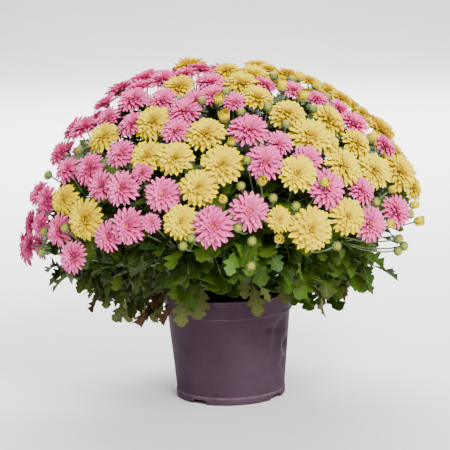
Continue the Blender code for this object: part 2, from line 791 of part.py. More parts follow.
def make_pot(parts, cutters):
    """Rim band, tapered wall, foot with drain slots, and a pad under the middle."""
    band = POT_HEIGHT - RIM_BAND_HEIGHT
    foot = POT_FOOT_RADIUS
    rim = POT_RIM_RADIUS
    wall = POT_WALL
    profile = [
        (rim - 0.0016, POT_HEIGHT), (rim, POT_HEIGHT - 0.0008), (rim, POT_HEIGHT - 0.0036),
        (rim - 0.0012, POT_HEIGHT - 0.0044), (rim - 0.0028, band + 0.0010), (rim - BAND_STEP, band),
        (foot + 0.0007, FOOT_LEDGE + 0.0012), (foot + 0.0014, FOOT_LEDGE), (foot + 0.0006, 0.0),
        (foot - FOOT_STEP, 0.0), (foot - 0.0045, PAD_HEIGHT), (PAD_RADIUS, PAD_HEIGHT),
        (PAD_RADIUS - 0.0015, 0.0), (0.0, 0.0)]
    inside = [
        (0.0, POT_FLOOR), (foot - FOOT_STEP, POT_FLOOR), (rim - BAND_STEP - 1.1 * wall, band - wall),
        (rim - 0.0030 - wall, band + 0.0006), (rim - 0.0012 - 1.2 * wall, POT_HEIGHT)]
    pot = turned("pot", profile + inside + profile[:1], parts)
    for index in range(DRAIN_SLOTS):
        angle = SLOT_ANGLE + math.tau * index / DRAIN_SLOTS - math.pi / 2
        spot = (math.cos(angle) * (foot + 0.001), math.sin(angle) * (foot + 0.001), 0.0)
        bpy.ops.mesh.primitive_cube_add(size=1.0, location=spot, rotation=(0.0, 0.0, angle))
        cutter = bpy.context.object
        cutter.name = "drain_slot_%d" % (index + 1)
        cutter.scale = SLOT_SIZE
        cutter.hide_render = True
        cutter.display_type = "WIRE"
        for owner in list(cutter.users_collection):
            owner.objects.unlink(cutter)
        cutters.objects.link(cutter)
    cut = pot.modifiers.new("drain", "BOOLEAN")
    cut.operand_type = "COLLECTION"
    cut.collection = cutters
    return pot


def make_soil(stems, parts, cutters):
    """The potting soil, with a plain hole where each stem stands."""
    band = POT_HEIGHT - RIM_BAND_HEIGHT
    gap = CONTACT_GAP
    foot = POT_FOOT_RADIUS - FOOT_STEP - gap
    upper = POT_RIM_RADIUS - BAND_STEP - 1.1 * POT_WALL - 1.5 * gap
    shoulder = POT_RIM_RADIUS - 0.0032 - POT_WALL - 1.5 * gap
    profile = [
        (0.0, SOIL_TOP + 0.003), (shoulder, SOIL_TOP - 0.002), (shoulder, band + 0.0012),
        (upper, band - POT_WALL - 0.0004), (foot, POT_FLOOR + gap), (0.0, POT_FLOOR + gap)]
    soil = turned("soil", profile, parts)
    holes = bpy.data.collections.new("stem_holes")
    cutters.children.link(holes)
    for index, stem in enumerate(stems):
        shape = bmesh.new()
        low = stem.root.z - gap
        high = SOIL_TOP + 0.02
        width = STEM_RADIUS + STEM_HOLE_GAP
        place = Matrix.Translation((stem.root.x, stem.root.y, (low + high) / 2))
        bmesh.ops.create_cone(shape, cap_ends=True, segments=6, radius1=width, radius2=width,
                              depth=high - low, matrix=place)
        mesh = bpy.data.meshes.new("stem_hole_%02d" % (index + 1))
        shape.to_mesh(mesh)
        shape.free()
        cutter = bpy.data.objects.new(mesh.name, mesh)
        cutter.hide_render = True
        cutter.display_type = "WIRE"
        holes.objects.link(cutter)
    cut = soil.modifiers.new("holes", "BOOLEAN")
    cut.operand_type = "COLLECTION"
    cut.collection = holes
    return soil


def keep_skin(shape):
    """Drop every skin but the largest, and say how many were dropped."""
    loose = set(shape.faces)
    skins = []
    while loose:
        skin = {loose.pop()}
        border = list(skin)
        while border:
            for edge in border.pop().edges:
                for face in edge.link_faces:
                    if face in loose:
                        loose.discard(face)
                        skin.add(face)
                        border.append(face)
        skins.append(skin)
    skins.sort(key=len)
    for skin in skins[:-1]:
        bmesh.ops.delete(shape, geom=list(skin), context="FACES")
    return len(skins) - 1


def fused(name, base, pieces, parts):
    """One closed body from a base and a collection of pieces that sink into it."""
    joining = base.modifiers.new("fuse", "BOOLEAN")
    joining.operation = "UNION"
    joining.operand_type = "COLLECTION"
    joining.collection = pieces
    joining.solver = "MANIFOLD"
    bpy.context.view_layer.update()
    evaluated = base.evaluated_get(bpy.context.evaluated_depsgraph_get())
    mesh = bpy.data.meshes.new_from_object(evaluated)
    mesh.name = name
    for angle in (0.0, FLAT_ANGLE):
        shape = bmesh.new()
        shape.from_mesh(mesh)
        keep_skin(shape)
        if angle:
            edges = [edge for edge in shape.edges if edge.is_manifold]
            bmesh.ops.dissolve_limit(shape, angle_limit=angle, verts=shape.verts, edges=edges)
            bmesh.ops.triangulate(shape, faces=shape.faces)
        if all(edge.is_manifold for edge in shape.edges) and keep_skin(shape) == 0:
            shape.to_mesh(mesh)
        shape.free()
    whole = bpy.data.objects.new(name, mesh)
    parts.objects.link(whole)
    for piece in list(pieces.objects) + [base]:
        bpy.data.objects.remove(piece)
    bpy.data.collections.remove(pieces)
    return whole


def make_leafy_stem(stem, leaves, parts, scene):
    """Stem, branches and lobed leaves of one node."""
    pieces = bpy.data.collections.new(stem.name)
    scene.collection.children.link(pieces)
    base = tube("main", [stem.root, stem.collar, stem.knot], STEM_RADIUS, scene.collection)
    knob("knot", stem.knot, 1.7 * STEM_RADIUS, pieces)
    for spray in stem.sprays:
        tube("branch", stem.branch_route(spray), BRANCH_RADIUS, pieces)
    for points, faces in leaves:
        mesh_object("leaf", points, faces, pieces)
    return fused(stem.name, base, pieces, parts)


def make_spray(spray, parts, scene):
    """The spray's own stem, and each stalk with its head."""
    pieces = bpy.data.collections.new(spray.name)
    scene.collection.children.link(pieces)
    base = tube("stem", spray.stem_route(), SPRAY_STEM_RADIUS, scene.collection)
    for index, head in enumerate(spray.heads):
        points, faces = head_solid(head, spray.stalk_root(index))
        mesh_object("head", points, faces, pieces)
    return fused(spray.name, base, pieces, parts)


def paint(thing, name, colour, roughness):
    material = bpy.data.materials.get(name) or bpy.data.materials.new(name)
    material.use_nodes = True
    shader = material.node_tree.nodes["Principled BSDF"]
    shader.inputs["Base Color"].default_value = (*colour, 1.0)
    shader.inputs["Roughness"].default_value = roughness
    thing.data.materials.append(material)


def build():
    for thing in list(bpy.data.objects):
        bpy.data.objects.remove(thing)
    scene = bpy.context.scene
    parts = bpy.data.collections.new("pot_chrysanthemum")
    scene.collection.children.link(parts)
    cutters = bpy.data.collections.new("cutters")
    scene.collection.children.link(cutters)

    heads = flower_heads()
    spread_heads(heads)
    sprays = sprays_of(heads)
    owner = gather([spray.middle for spray in sprays], LEAFY_STEMS)
    stems = []
    for index in range(LEAFY_STEMS):
        group = [spray for spray, mine in zip(sprays, owner) if mine == index]
        stems.append(LeafyStem("leafy_stem_%02d" % (index + 1), group))

    paint(make_pot(parts, cutters), "pot_plastic", POT_COLOUR, 0.38)
    paint(make_soil(stems, parts, cutters), "soil", SOIL_COLOUR, 0.95)
    obstacles = Obstacles()
    pot_barrier(obstacles)
    untangle_stems(stems, obstacles)
    untangle_heads(sprays, obstacles)
    for stem, leaves in zip(stems, grow_leaves(stems, obstacles)):
        paint(make_leafy_stem(stem, leaves, parts, scene), "leaf_green", GREEN, 0.6)
    for spray in sprays:
        paint(make_spray(spray, parts, scene), spray.colour + "_petals", COLOURS[spray.colour], 0.55)


build()
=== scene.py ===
"""Looks of a potted chrysanthemum: a dented nursery pot, peat soil, leafy stems,
and a broad dome of pink and of yellow double blooms with their buds."""
import json
import math
import random

import bmesh
import bpy
import numpy as np
from mathutils import Matrix, Vector, noise

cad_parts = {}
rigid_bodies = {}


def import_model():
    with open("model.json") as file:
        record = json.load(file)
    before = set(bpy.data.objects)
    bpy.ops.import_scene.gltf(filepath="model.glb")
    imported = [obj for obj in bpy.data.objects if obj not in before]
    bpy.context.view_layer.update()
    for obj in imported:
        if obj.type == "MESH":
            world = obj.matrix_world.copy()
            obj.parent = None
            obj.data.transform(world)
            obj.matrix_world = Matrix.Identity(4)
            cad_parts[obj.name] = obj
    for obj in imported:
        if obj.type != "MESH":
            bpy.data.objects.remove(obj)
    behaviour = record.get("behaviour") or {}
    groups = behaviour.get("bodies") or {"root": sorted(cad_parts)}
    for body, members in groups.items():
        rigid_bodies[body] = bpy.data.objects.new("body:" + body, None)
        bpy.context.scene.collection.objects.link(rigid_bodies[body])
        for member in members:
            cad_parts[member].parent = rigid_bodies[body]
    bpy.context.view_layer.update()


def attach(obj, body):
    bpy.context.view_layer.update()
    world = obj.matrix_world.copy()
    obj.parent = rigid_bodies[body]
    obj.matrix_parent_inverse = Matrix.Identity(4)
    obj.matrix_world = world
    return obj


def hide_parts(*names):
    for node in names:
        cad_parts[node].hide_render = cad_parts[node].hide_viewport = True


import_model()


# Camera
# The plant is seen from the front, a little from above, by a long lens that
# leans slightly to one side. Lengths in pixels belong to a 450-pixel square.
PHOTO_SIZE = 450
FOCAL_PIXELS = 1768
LEAN = math.radians(1.7)
EYE = Vector((0.0, -2.25, 0.60))
AIM = Vector((-0.0015, 0.0, 0.222))
UP = Vector((0.0, 0.0, 1.0))

ahead = (AIM - EYE).normalized()
level_right = ahead.cross(UP).normalized()
level_up = level_right.cross(ahead)
photo_right = level_right * math.cos(LEAN) - level_up * math.sin(LEAN)
photo_up = level_right * math.sin(LEAN) + level_up * math.cos(LEAN)

lens = bpy.data.cameras.new("camera")
lens.sensor_fit = "HORIZONTAL"
lens.sensor_width = 36.0
lens.lens = lens.sensor_width * FOCAL_PIXELS / PHOTO_SIZE
lens.clip_end = 100.0
camera = bpy.data.objects.new("camera", lens)
turn = Matrix((photo_right, photo_up, -ahead)).transposed()
camera.matrix_world = Matrix.Translation(EYE) @ turn.to_4x4()
bpy.context.scene.collection.objects.link(camera)
bpy.context.scene.camera = camera


# Pot
# A thin nursery pot, blow-moulded from dark purple-brown plastic: a rim band
# with a rolled lip, a tapered wall with dents from handling, and a stepped foot
# with four drain slots. It replaces the plain turned shell.
POT_HEIGHT = 0.138
BAND_BOTTOM = POT_HEIGHT - 0.024
LEDGE = 0.0085
WALL_ROWS = 34
POT_SLICES = 192
WALL_RIPPLE = 0.00022
POT_OVAL = 0.0005
SLOTS = 4
SLOT_SIZE = (0.014, 0.019, 0.012)
SLOT_SPLAY = 1.6
SLOT_RADIUS = 0.0705
SLOT_ANGLE = math.radians(-35)
POT_DENTS = [
    # angle from the front, height, half width in degrees, half height, depth
    (77.0, 0.066, 13.0, 0.020, 0.0052), (58.0, 0.096, 15.0, 0.017, 0.0052),
    (70.0, 0.042, 10.0, 0.020, 0.0022), (48.0, 0.066, 9.0, 0.040, 0.0032),
    (36.0, 0.098, 10.0, 0.014, 0.0022), (-22.0, 0.052, 20.0, 0.030, 0.0010),
    (15.0, 0.070, 14.0, 0.020, 0.0008), (150.0, 0.060, 20.0, 0.030, 0.0026),
    (-120.0, 0.050, 16.0, 0.024, 0.0022)]
# Painted highlight lines along the ledge, the band and the lip: share of the height, and how light each is
HIGHLIGHT_LINE_TOP = 0.140
HIGHLIGHT_LINES = [(0.030, 0.10), (0.060, 0.20), (0.068, 0.75), (0.078, 0.0), (0.810, 0.0), (0.819, 0.75),
          (0.830, 0.05), (0.940, 0.05), (0.951, 0.50), (0.960, 0.0), (0.980, 0.45)]


def straight(start, end, count):
    """Evenly spaced points of a straight stretch of an outline."""
    start, end = np.array(start), np.array(end)
    return [tuple(start + (end - start) * share) for share in np.linspace(0.0, 1.0, count)]


# The outline, as radius and height: rim, wall and foot outside, then floor, wall and lip inside
rim_outline = [
    (0.0815, 0.0000), (0.0830, 0.0002), (0.0843, -0.0002), (0.0850, -0.0012), (0.0851, -0.0022),
    (0.0846, -0.0030), (0.0837, -0.0035), (0.0836, -0.0041), (0.0842, -0.0047), (0.0842, -0.0058),
    (0.0836, -0.0100), (0.0831, -0.0150), (0.0825, -0.0200), (0.0823, -0.0222), (0.0829, -0.0230),
    (0.0828, -0.0238), (0.0814, -0.0243), (0.0802, -0.0248)]
pot_outline = [(radius, POT_HEIGHT + drop) for radius, drop in rim_outline]
pot_outline += straight((0.0799, BAND_BOTTOM - 0.0020), (0.0702, LEDGE + 0.0016), WALL_ROWS)
pot_outline += [
    (0.0709, LEDGE + 0.0008), (0.0712, LEDGE), (0.0710, 0.0040), (0.0704, 0.0010), (0.0696, 0.0000),
    (0.0665, 0.0000), (0.0655, 0.0008), (0.0650, 0.0050), (0.0400, 0.0050), (0.0205, 0.0050),
    (0.0190, 0.0030), (0.0185, 0.0000), (0.0090, 0.0000),
    (0.0100, 0.0079), (0.0400, 0.0079), (0.0660, 0.0079), (0.0676, 0.0086)]
pot_outline += straight((0.0684, 0.0108), (0.0784, BAND_BOTTOM - 0.0016), WALL_ROWS)
pot_outline += [(0.0794, BAND_BOTTOM + 0.0002), (0.0804, BAND_BOTTOM + 0.0090),
                (0.0812, POT_HEIGHT - 0.0060), (0.0813, POT_HEIGHT - 0.0010)]


def dent_at(angle, height):
    """How far the wall is pushed in at an angle from the front and a height."""
    depth = 0.0
    for at, up, wide, tall, deep in POT_DENTS:
        across = (math.degrees(angle) - at + 180) % 360 - 180
        spot = Vector((across / wide, (height - up) / tall))
        spot.x += 0.35 * math.sin(3.1 * spot.y + at)
        crease = 1.0 + 0.5 * noise.noise(Vector((spot.x * 1.7, spot.y * 1.7, at)))
        fall = max(0.0, 1.0 - spot.length)
        depth += deep * crease * min(1.0, 1.6 * fall) * fall ** 0.5
    return depth


def wall_freedom(height):
    """None at the stiff foot and rim band, and one on the wall between them."""
    above_foot = min(1.0, max(0.0, (height - 0.012) / 0.012))
    below_band = min(1.0, max(0.0, (BAND_BOTTOM - 0.0025 - height) / 0.01))
    return above_foot * below_band


def ring_faces(rings, sides, start=0, loop=False):
    """Faces from each ring of points to the next, and in a loop from the last to the first."""
    faces = []
    for ring in range(rings if loop else rings - 1):
        here, above = start + ring * sides, start + (ring + 1) % rings * sides
        for side in range(sides):
            after = (side + 1) % sides
            faces.append((here + side, here + after, above + after, above + side))
    return faces


def pot_surface():
    """Rings of points round the outline, with the dents pressed into the wall."""
    points = []
    for radius, height in pot_outline:
        for step in range(POT_SLICES):
            angle = math.tau * step / POT_SLICES
            pushed = radius
            if radius > 0.05:
                spot = Vector((3 * math.cos(angle), 3 * math.sin(angle), height * 60))
                pushed += WALL_RIPPLE * noise.noise(spot)
                pushed += POT_OVAL * math.sin(2 * angle + 0.6) * height / POT_HEIGHT
                pushed -= wall_freedom(height) * dent_at(angle, height)
            points.append((pushed * math.sin(angle), -pushed * math.cos(angle), height))
    return points, ring_faces(len(pot_outline), POT_SLICES, loop=True)


def new_piece(name, points, faces, *materials):
    mesh = bpy.data.meshes.new(name)
    mesh.from_pydata([tuple(point) for point in points], [], faces)
    for material in materials:
        mesh.materials.append(material)
    piece = bpy.data.objects.new(name, mesh)
    bpy.context.scene.collection.objects.link(piece)
    return piece


def face_outwards(piece):
    shape = bmesh.new()
    shape.from_mesh(piece.data)
    bmesh.ops.recalc_face_normals(shape, faces=shape.faces)
    shape.to_mesh(piece.data)
    shape.free()


def smooth(piece, sharp_degrees):
    """Smooth shading, with a crease where faces meet more sharply than this."""
    piece.data.shade_smooth()
    piece.data.set_sharp_from_angle(angle=math.radians(sharp_degrees))


def slot_cutter(number):
    """A block, wider at its foot, that cuts one drain slot."""
    angle = SLOT_ANGLE + math.tau * number / SLOTS - math.pi / 2
    block = bmesh.new()
    bmesh.ops.create_cube(block, size=1.0)
    bmesh.ops.scale(block, vec=SLOT_SIZE, verts=block.verts)
    low = [vert for vert in block.verts if vert.co.z < 0]
    bmesh.ops.scale(block, vec=(1.0, SLOT_SPLAY, 1.0), verts=low)
    mesh = bpy.data.meshes.new("slot_cutter")
    block.to_mesh(mesh)
    block.free()
    cutter = bpy.data.objects.new("slot_cutter", mesh)
    cutter.location = (math.cos(angle) * SLOT_RADIUS, math.sin(angle) * SLOT_RADIUS, 0.0)
    cutter.rotation_euler = (0.0, 0.0, angle)
    return cutter


class Finish:
    """A Principled material and the few nodes that a finish here is made of."""

    def __init__(self, name, roughness, **sockets):
        self.material = bpy.data.materials.new(name)
        self.material.use_nodes = True
        self.nodes = self.material.node_tree.nodes
        self.links = self.material.node_tree.links
        self.shader = self.nodes["Principled BSDF"]
        self.shader.inputs["Roughness"].default_value = roughness
        for socket, value in sockets.items():
            self.shader.inputs[socket.replace("_", " ")].default_value = value

    def add(self, kind, **settings):
        node = self.nodes.new(kind)
        for key, value in settings.items():
            setattr(node, key, value)
        return node

    def feed(self, *pairs):
        """Give each socket its number, its colour or another node's output."""
        for source, socket in pairs:
            if isinstance(source, (int, float)):
                socket.default_value = source
            elif isinstance(source, tuple):
                socket.default_value = (*source, 1.0)
            else:
                self.links.new(source, socket)

    def place(self):
        return self.add("ShaderNodeTexCoord").outputs["Object"]

    def blade(self):
        return self.add("ShaderNodeAttribute", attribute_name="blade").outputs["Vector"]

    def split(self, vector):
        node = self.add("ShaderNodeSeparateXYZ")
        self.feed((vector, node.inputs[0]))
        return node.outputs

    def noise(self, vector, scale, detail=4.0, roughness=0.55):
        node = self.add("ShaderNodeTexNoise")
        self.feed((vector, node.inputs["Vector"]), (scale, node.inputs["Scale"]),
                  (detail, node.inputs["Detail"]), (roughness, node.inputs["Roughness"]))
        return node.outputs["Fac"]

    def ramp(self, factor, *stops):
        node = self.add("ShaderNodeValToRGB")
        elements = node.color_ramp.elements
        while len(elements) < len(stops):
            elements.new(0.5)
        for element, (position, colour) in zip(elements, stops):
            element.position = position
            element.color = (*colour, 1.0)
        self.feed((factor, node.inputs["Fac"]))
        return node.outputs["Color"]

    def value(self, factor, low, high, start=0.0, end=1.0):
        """Low to high, as the factor goes from start to end."""
        node = self.add("ShaderNodeMapRange")
        self.feed((factor, node.inputs["Value"]),
                  (start, node.inputs["From Min"]), (end, node.inputs["From Max"]),
                  (low, node.inputs["To Min"]), (high, node.inputs["To Max"]))
        return node.outputs["Result"]

    def mix(self, factor, first, second):
        node = self.add("ShaderNodeMix", data_type="RGBA")
        self.feed((factor, node.inputs[0]), (first, node.inputs[6]), (second, node.inputs[7]))
        return node.outputs[2]

    def work(self, operation, first, second=0.0):
        node = self.add("ShaderNodeMath", operation=operation)
        self.feed((first, node.inputs[0]), (second, node.inputs[1]))
        return node.outputs[0]

    def times(self, first, second):
        return self.work("MULTIPLY", first, second)

    def plus(self, first, second):
        return self.work("ADD", first, second)

    def bump(self, height, strength, distance):
        node = self.add("ShaderNodeBump")
        self.feed((strength, node.inputs["Strength"]), (distance, node.inputs["Distance"]),
                  (height, node.inputs["Height"]), (node.outputs["Normal"], self.shader.inputs["Normal"]))

    def colour(self, source):
        self.feed((source, self.shader.inputs["Base Color"]))

    def gloss(self, source):
        self.feed((source, self.shader.inputs["Roughness"]))


def pot_plastic():
    finish = Finish("pot_plastic", 0.5, Specular_IOR_Level=0.03)
    place = finish.place()
    cloud = finish.noise(place, 18.0, 5.0)
    speck = finish.noise(place, 900.0, 2.0)
    body = finish.ramp(cloud, (0.30, (0.050, 0.026, 0.042)), (0.70, (0.074, 0.042, 0.062)))
    # Painted highlight lines: a lighter colour along the ledge, band and lip, broken up by a noise like
    # rubbed wear
    share = finish.value(finish.split(place)["Z"], 0.0, 1.0, 0.0, HIGHLIGHT_LINE_TOP)
    highlight_lines = finish.ramp(share, *[(at, (level, level, level)) for at, level in HIGHLIGHT_LINES])
    highlight_and_wear = finish.times(highlight_lines, finish.value(finish.noise(place, 60.0, 3.0), 0.35, 1.0, 0.3, 0.6))
    finish.colour(finish.mix(highlight_and_wear, body, (0.200, 0.135, 0.180)))
    finish.gloss(finish.value(cloud, 0.46, 0.60, 0.3, 0.7))
    finish.bump(finish.plus(speck, finish.times(cloud, 2.0)), 0.22, 0.0004)
    return finish.material


pot = new_piece("nursery_pot", *pot_surface(), pot_plastic())
face_outwards(pot)
cutters = bpy.data.collections.new("slot_cutters")
for number in range(SLOTS):
    cutters.objects.link(slot_cutter(number))
cut = pot.modifiers.new("slots", "BOOLEAN")
cut.operand_type = "COLLECTION"
cut.collection = cutters
bpy.context.view_layer.update()
cut_mesh = bpy.data.meshes.new_from_object(pot.evaluated_get(bpy.context.evaluated_depsgraph_get()))
pot.modifiers.clear()
pot.data = cut_mesh
for cutter in list(cutters.objects):
    bpy.data.objects.remove(cutter)
bpy.data.collections.remove(cutters)
smooth(pot, 38)
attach(pot, "root")
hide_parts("pot")


# Soil
# Dark peat with bark crumbs and a few grains of perlite. The lumps are formed
# in the surface, and it fills the pot as the plain solid does.
SOIL_TOP = 0.123
SOIL_SHOULDER = SOIL_TOP - 0.0065
SOIL_RADIUS = 0.0796
SOIL_RINGS = 30
SOIL_SLICES = 96
SOIL_SIDE_ROWS = 24
SOIL_CROWN = 0.0022


def soil_surface():
    """A crowned, lumpy top and a side that follows the dented wall."""
    points = [(0.0, 0.0, SOIL_TOP + 0.003)]
    levels = [(SOIL_RADIUS * (ring + 1) / SOIL_RINGS, None) for ring in range(SOIL_RINGS)]
    levels += [(SOIL_RADIUS, SOIL_SHOULDER)]
    levels += straight((0.0770, SOIL_SHOULDER - 0.0075), (0.0672, 0.0084), SOIL_SIDE_ROWS)
    for radius, height in levels:
        for step in range(SOIL_SLICES):
            angle = math.tau * step / SOIL_SLICES
            wide, z = radius, height
            if height is not None and height < SOIL_SHOULDER:
                wide -= wall_freedom(height) * dent_at(angle + math.pi / 2, height) + 0.0004
            x, y = wide * math.cos(angle), wide * math.sin(angle)
            if height is None:
                spot = Vector((x, y, 0.0))
                lumps = 0.0016 * noise.noise(spot * 90) + 0.0012 * noise.noise(spot * 230)
                z = SOIL_TOP + SOIL_CROWN - 0.003 * (radius / SOIL_RADIUS) ** 2 + lumps
            points.append((x, y, z))
    faces = [(0, 1 + step, 1 + (step + 1) % SOIL_SLICES) for step in range(SOIL_SLICES)]
    faces += ring_faces(len(levels), SOIL_SLICES, 1)
    base = 1 + (len(levels) - 1) * SOIL_SLICES
    faces.append(tuple(base + step for step in reversed(range(SOIL_SLICES))))
    return points, faces


def peat():
    finish = Finish("soil", 0.95)
    place = finish.place()
    crumbs = finish.noise(place, 260.0, 6.0, 0.7)
    grains = finish.add("ShaderNodeTexVoronoi")
    finish.feed((150.0, grains.inputs["Scale"]), (place, grains.inputs["Vector"]))
    dark = finish.ramp(crumbs, (0.3, (0.008, 0.005, 0.004)), (0.6, (0.035, 0.022, 0.014)),
                       (0.8, (0.075, 0.050, 0.032)))
    pale = finish.value(grains.outputs["Distance"], 1.0, 0.0, 0.05, 0.11)
    finish.colour(finish.mix(finish.times(pale, crumbs), dark, (0.42, 0.40, 0.36)))
    finish.bump(crumbs, 0.9, 0.0012)
    return finish.material


soil = new_piece("peat_soil", *soil_surface(), peat())
face_outwards(soil)
smooth(soil, 60)
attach(soil, "root")
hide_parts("soil")


# Places of the flowers
# The front flowers stand where the eye sees them, on a dome round the plant's
# heart; those at the back follow a seeded draw. Crowded heads lift clear of
# each other, and neighbours of one colour share a spray.
DOME_CENTRE = Vector((0.0, 0.0, 0.188))
DOME_SIZE = Vector((0.254, 0.254, 0.240))
BLOOM_RADIUS = 0.025
BLOOM_THICKNESS = 0.34
BUD_PIXELS = 9
BUD_RADIUS = 0.0055
BUD_LIFT = 0.012
RANDOM_TILT = 0.16
TOWARDS_EYE_LOW = 0.42
TOWARDS_EYE_TOP = 0.08
BACK_TRIES = 4000
BACK_SPACING = 0.045
BACK_BUDS = 8
BACK_REACH = (0.955, 1.02)
PINK_SLOPE = 6.0
BARE_SIDE = (380, 200)
SPREAD_STEPS = 90
SPREAD_LIMIT = 0.004
SPREAD_LIFT = 0.4
SPREAD_ASIDE = 0.12
HOME_PULL = 0.03
GATHER_STEPS = 20
HEART = Vector((0.0, 0.0, 0.118))
BRANCH_SHARE = 0.60
FORK_SHARE = {"pink": 0.69, "yellow": 0.74}
SPRAYS = {"pink": 21, "yellow": 23}

# Blooms in the photograph's pixels: across, down and width
FRONT_BLOOMS = {
    "pink": [
        (106, 104, 32), (84, 128, 36), (61, 153, 32), (67, 170, 32), (89, 169, 38), (121, 154, 34),
        (39, 194, 30), (47, 201, 32), (28, 222, 30), (42, 224, 30), (60, 230, 36), (30, 246, 30),
        (74, 257, 36), (101, 187, 34), (123, 187, 40), (163, 194, 40), (128, 226, 40), (109, 236, 34),
        (151, 223, 22), (133, 100, 36), (140, 88, 32), (161, 80, 32), (184, 75, 30), (198, 70, 32),
        (211, 83, 34), (162, 101, 34), (183, 112, 36), (195, 101, 32), (213, 95, 32), (134, 124, 36),
        (108, 119, 32), (176, 131, 32), (249, 130, 44), (268, 163, 42), (213, 226, 46), (249, 212, 42),
        (278, 143, 30), (234, 102, 26), (265, 85, 28), (293, 90, 28), (317, 99, 26), (338, 108, 26),
        (354, 124, 36), (386, 148, 34), (405, 156, 28), (308, 160, 34), (325, 188, 44), (362, 191, 32),
        (370, 223, 40), (396, 211, 38), (141, 173, 24)],
    "yellow": [
        (258, 62, 30), (228, 71, 30), (253, 76, 36), (269, 70, 24), (286, 74, 26), (180, 87, 36),
        (240, 84, 38), (257, 98, 36), (154, 122, 42), (104, 137, 38), (147, 157, 40), (175, 158, 40),
        (206, 134, 44), (222, 165, 46), (200, 186, 42), (182, 222, 38), (64, 199, 34), (86, 218, 44),
        (288, 114, 40), (311, 137, 46), (327, 142, 26), (331, 121, 40), (341, 99, 28), (358, 105, 28),
        (371, 110, 24), (383, 124, 42), (401, 138, 28), (356, 144, 36), (344, 168, 44), (373, 168, 40),
        (399, 171, 42), (422, 184, 32), (298, 174, 42), (345, 213, 40), (311, 229, 48), (279, 219, 28),
        (314, 76, 24), (330, 85, 26)]}

# Half-open flowers: across, down and width; round buds: across and down
FRONT_CUPS = [
    (219, 100, 14), (225, 117, 15), (231, 143, 11), (281, 86, 14), (303, 96, 15), (316, 85, 11),
    (301, 74, 11), (372, 136, 14), (262, 181, 13), (325, 184, 13), (223, 199, 12), (279, 239, 13),
    (390, 224, 12), (393, 190, 11), (414, 205, 11), (419, 221, 12)]
FRONT_BUDS = [
    (201, 101), (226, 92), (241, 112), (268, 107), (286, 124), (247, 160), (241, 186), (273, 198),
    (238, 228), (252, 241), (251, 266), (191, 238), (183, 246), (296, 206), (337, 246), (375, 202),
    (410, 214), (399, 239), (404, 246), (398, 251), (273, 76), (292, 80), (313, 108), (328, 108),
    (328, 98), (79, 150), (48, 175), (42, 252), (44, 232), (65, 228)]


def sight(across, down):
    """The line of sight through a pixel."""
    return (ahead * FOCAL_PIXELS + photo_right * (across - PHOTO_SIZE / 2)
            + photo_up * (PHOTO_SIZE / 2 - down))


def on_dome(across, down):
    """Where that line meets the dome, or comes nearest to it."""
    shrink = Vector([1 / size for size in DOME_SIZE])
    start = (EYE - DOME_CENTRE) * shrink
    run = sight(across, down) * shrink
    nearest = -start.dot(run) / run.length_squared
    depth = 1 - (start + run * nearest).length_squared
    back = math.sqrt(max(0.0, depth) / run.length_squared)
    return DOME_CENTRE + (start + run * (nearest - back)).normalized() * DOME_SIZE


def pixel_of(place):
    """The pixel that a place is seen at."""
    gap = place - EYE
    scale = FOCAL_PIXELS / gap.dot(ahead)
    return PHOTO_SIZE / 2 + gap.dot(photo_right) * scale, PHOTO_SIZE / 2 - gap.dot(photo_up) * scale


def around(angle, radius, height):
    """A point at an angle round the upright axis, a distance from it and a height."""
    return Vector((radius * math.cos(angle), radius * math.sin(angle), height))


def from_centre(angle, level):
    """From the dome's centre to its surface, at an angle and a share of its height."""
    return around(angle, math.sqrt(1 - level ** 2), level) * DOME_SIZE


def dome_normal(place):
    return Vector([(p - c) / s ** 2 for p, c, s in zip(place, DOME_CENTRE, DOME_SIZE)]).normalized()


class Flower:
    """One bloom, half-open cup or bud: where its head is and which way it faces."""

    def __init__(self, kind, colour, place, rise, radius, tilt, turn):
        self.kind, self.colour, self.radius, self.turn = kind, colour, radius, turn
        self.place, self.rise = place, rise
        self.axis = (dome_normal(place) + tilt).normalized()

    def outwards(self, angle):
        """The way out from the axis at an angle round it."""
        across = self.axis.orthogonal().normalized()
        return across * math.cos(angle) + self.axis.cross(across) * math.sin(angle)


def flower_heads():
    """The heads that the photograph shows, and then a scatter over the back."""
    draw = random.Random(17)
    heads = []

    def tilt():
        return Vector([draw.uniform(-RANDOM_TILT, RANDOM_TILT) for _ in range(3)])

    def seen(kind, colour, across, down, width, lift):
        place = on_dome(across, down)
        rise = (EYE - place).normalized()
        upright = dome_normal(place).z
        place += rise * lift
        radius = 0.5 * width * (place - EYE).length / FOCAL_PIXELS
        lean = tilt() + rise * (TOWARDS_EYE_LOW + (TOWARDS_EYE_TOP - TOWARDS_EYE_LOW) * upright)
        heads.append(Flower(kind, colour, place, rise, radius, lean, draw.uniform(0, math.tau)))

    for colour, blooms in FRONT_BLOOMS.items():
        for across, down, width in blooms:
            seen("bloom", colour, across, down, width, 0.0)
    for across, down, width in FRONT_CUPS:
        seen("cup", "yellow", across, down, width, BUD_LIFT)
    for across, down in FRONT_BUDS:
        seen("bud", "any", across, down, BUD_PIXELS, BUD_LIFT)
    back_buds = 0
    for _ in range(BACK_TRIES):
        angle = draw.uniform(0, math.tau)
        level = draw.uniform(0.0, 1.0)
        place = DOME_CENTRE + from_centre(angle, level) * draw.uniform(*BACK_REACH)
        if dome_normal(place).dot((EYE - place).normalized()) > 0.02:
            continue
        across, down = pixel_of(place)
        if across > BARE_SIDE[0] and down > BARE_SIDE[1]:
            continue
        gap = min((place - other.place).length for other in heads)
        colour = "pink" if draw.random() < 0.5 - PINK_SLOPE * place.x else "yellow"
        radius = BLOOM_RADIUS * draw.uniform(0.85, 1.1)
        rise = dome_normal(place)
        if gap > BACK_SPACING:
            bloom_turn = draw.uniform(0, math.tau)
            heads.append(Flower("bloom", colour, place, rise, radius, tilt(), bloom_turn))
        elif gap > 0.6 * BACK_SPACING and back_buds < BACK_BUDS:
            place += rise * BUD_LIFT
            heads.append(Flower("bud", "any", place, rise, BUD_RADIUS, tilt(), 0.0))
            back_buds += 1
    return heads


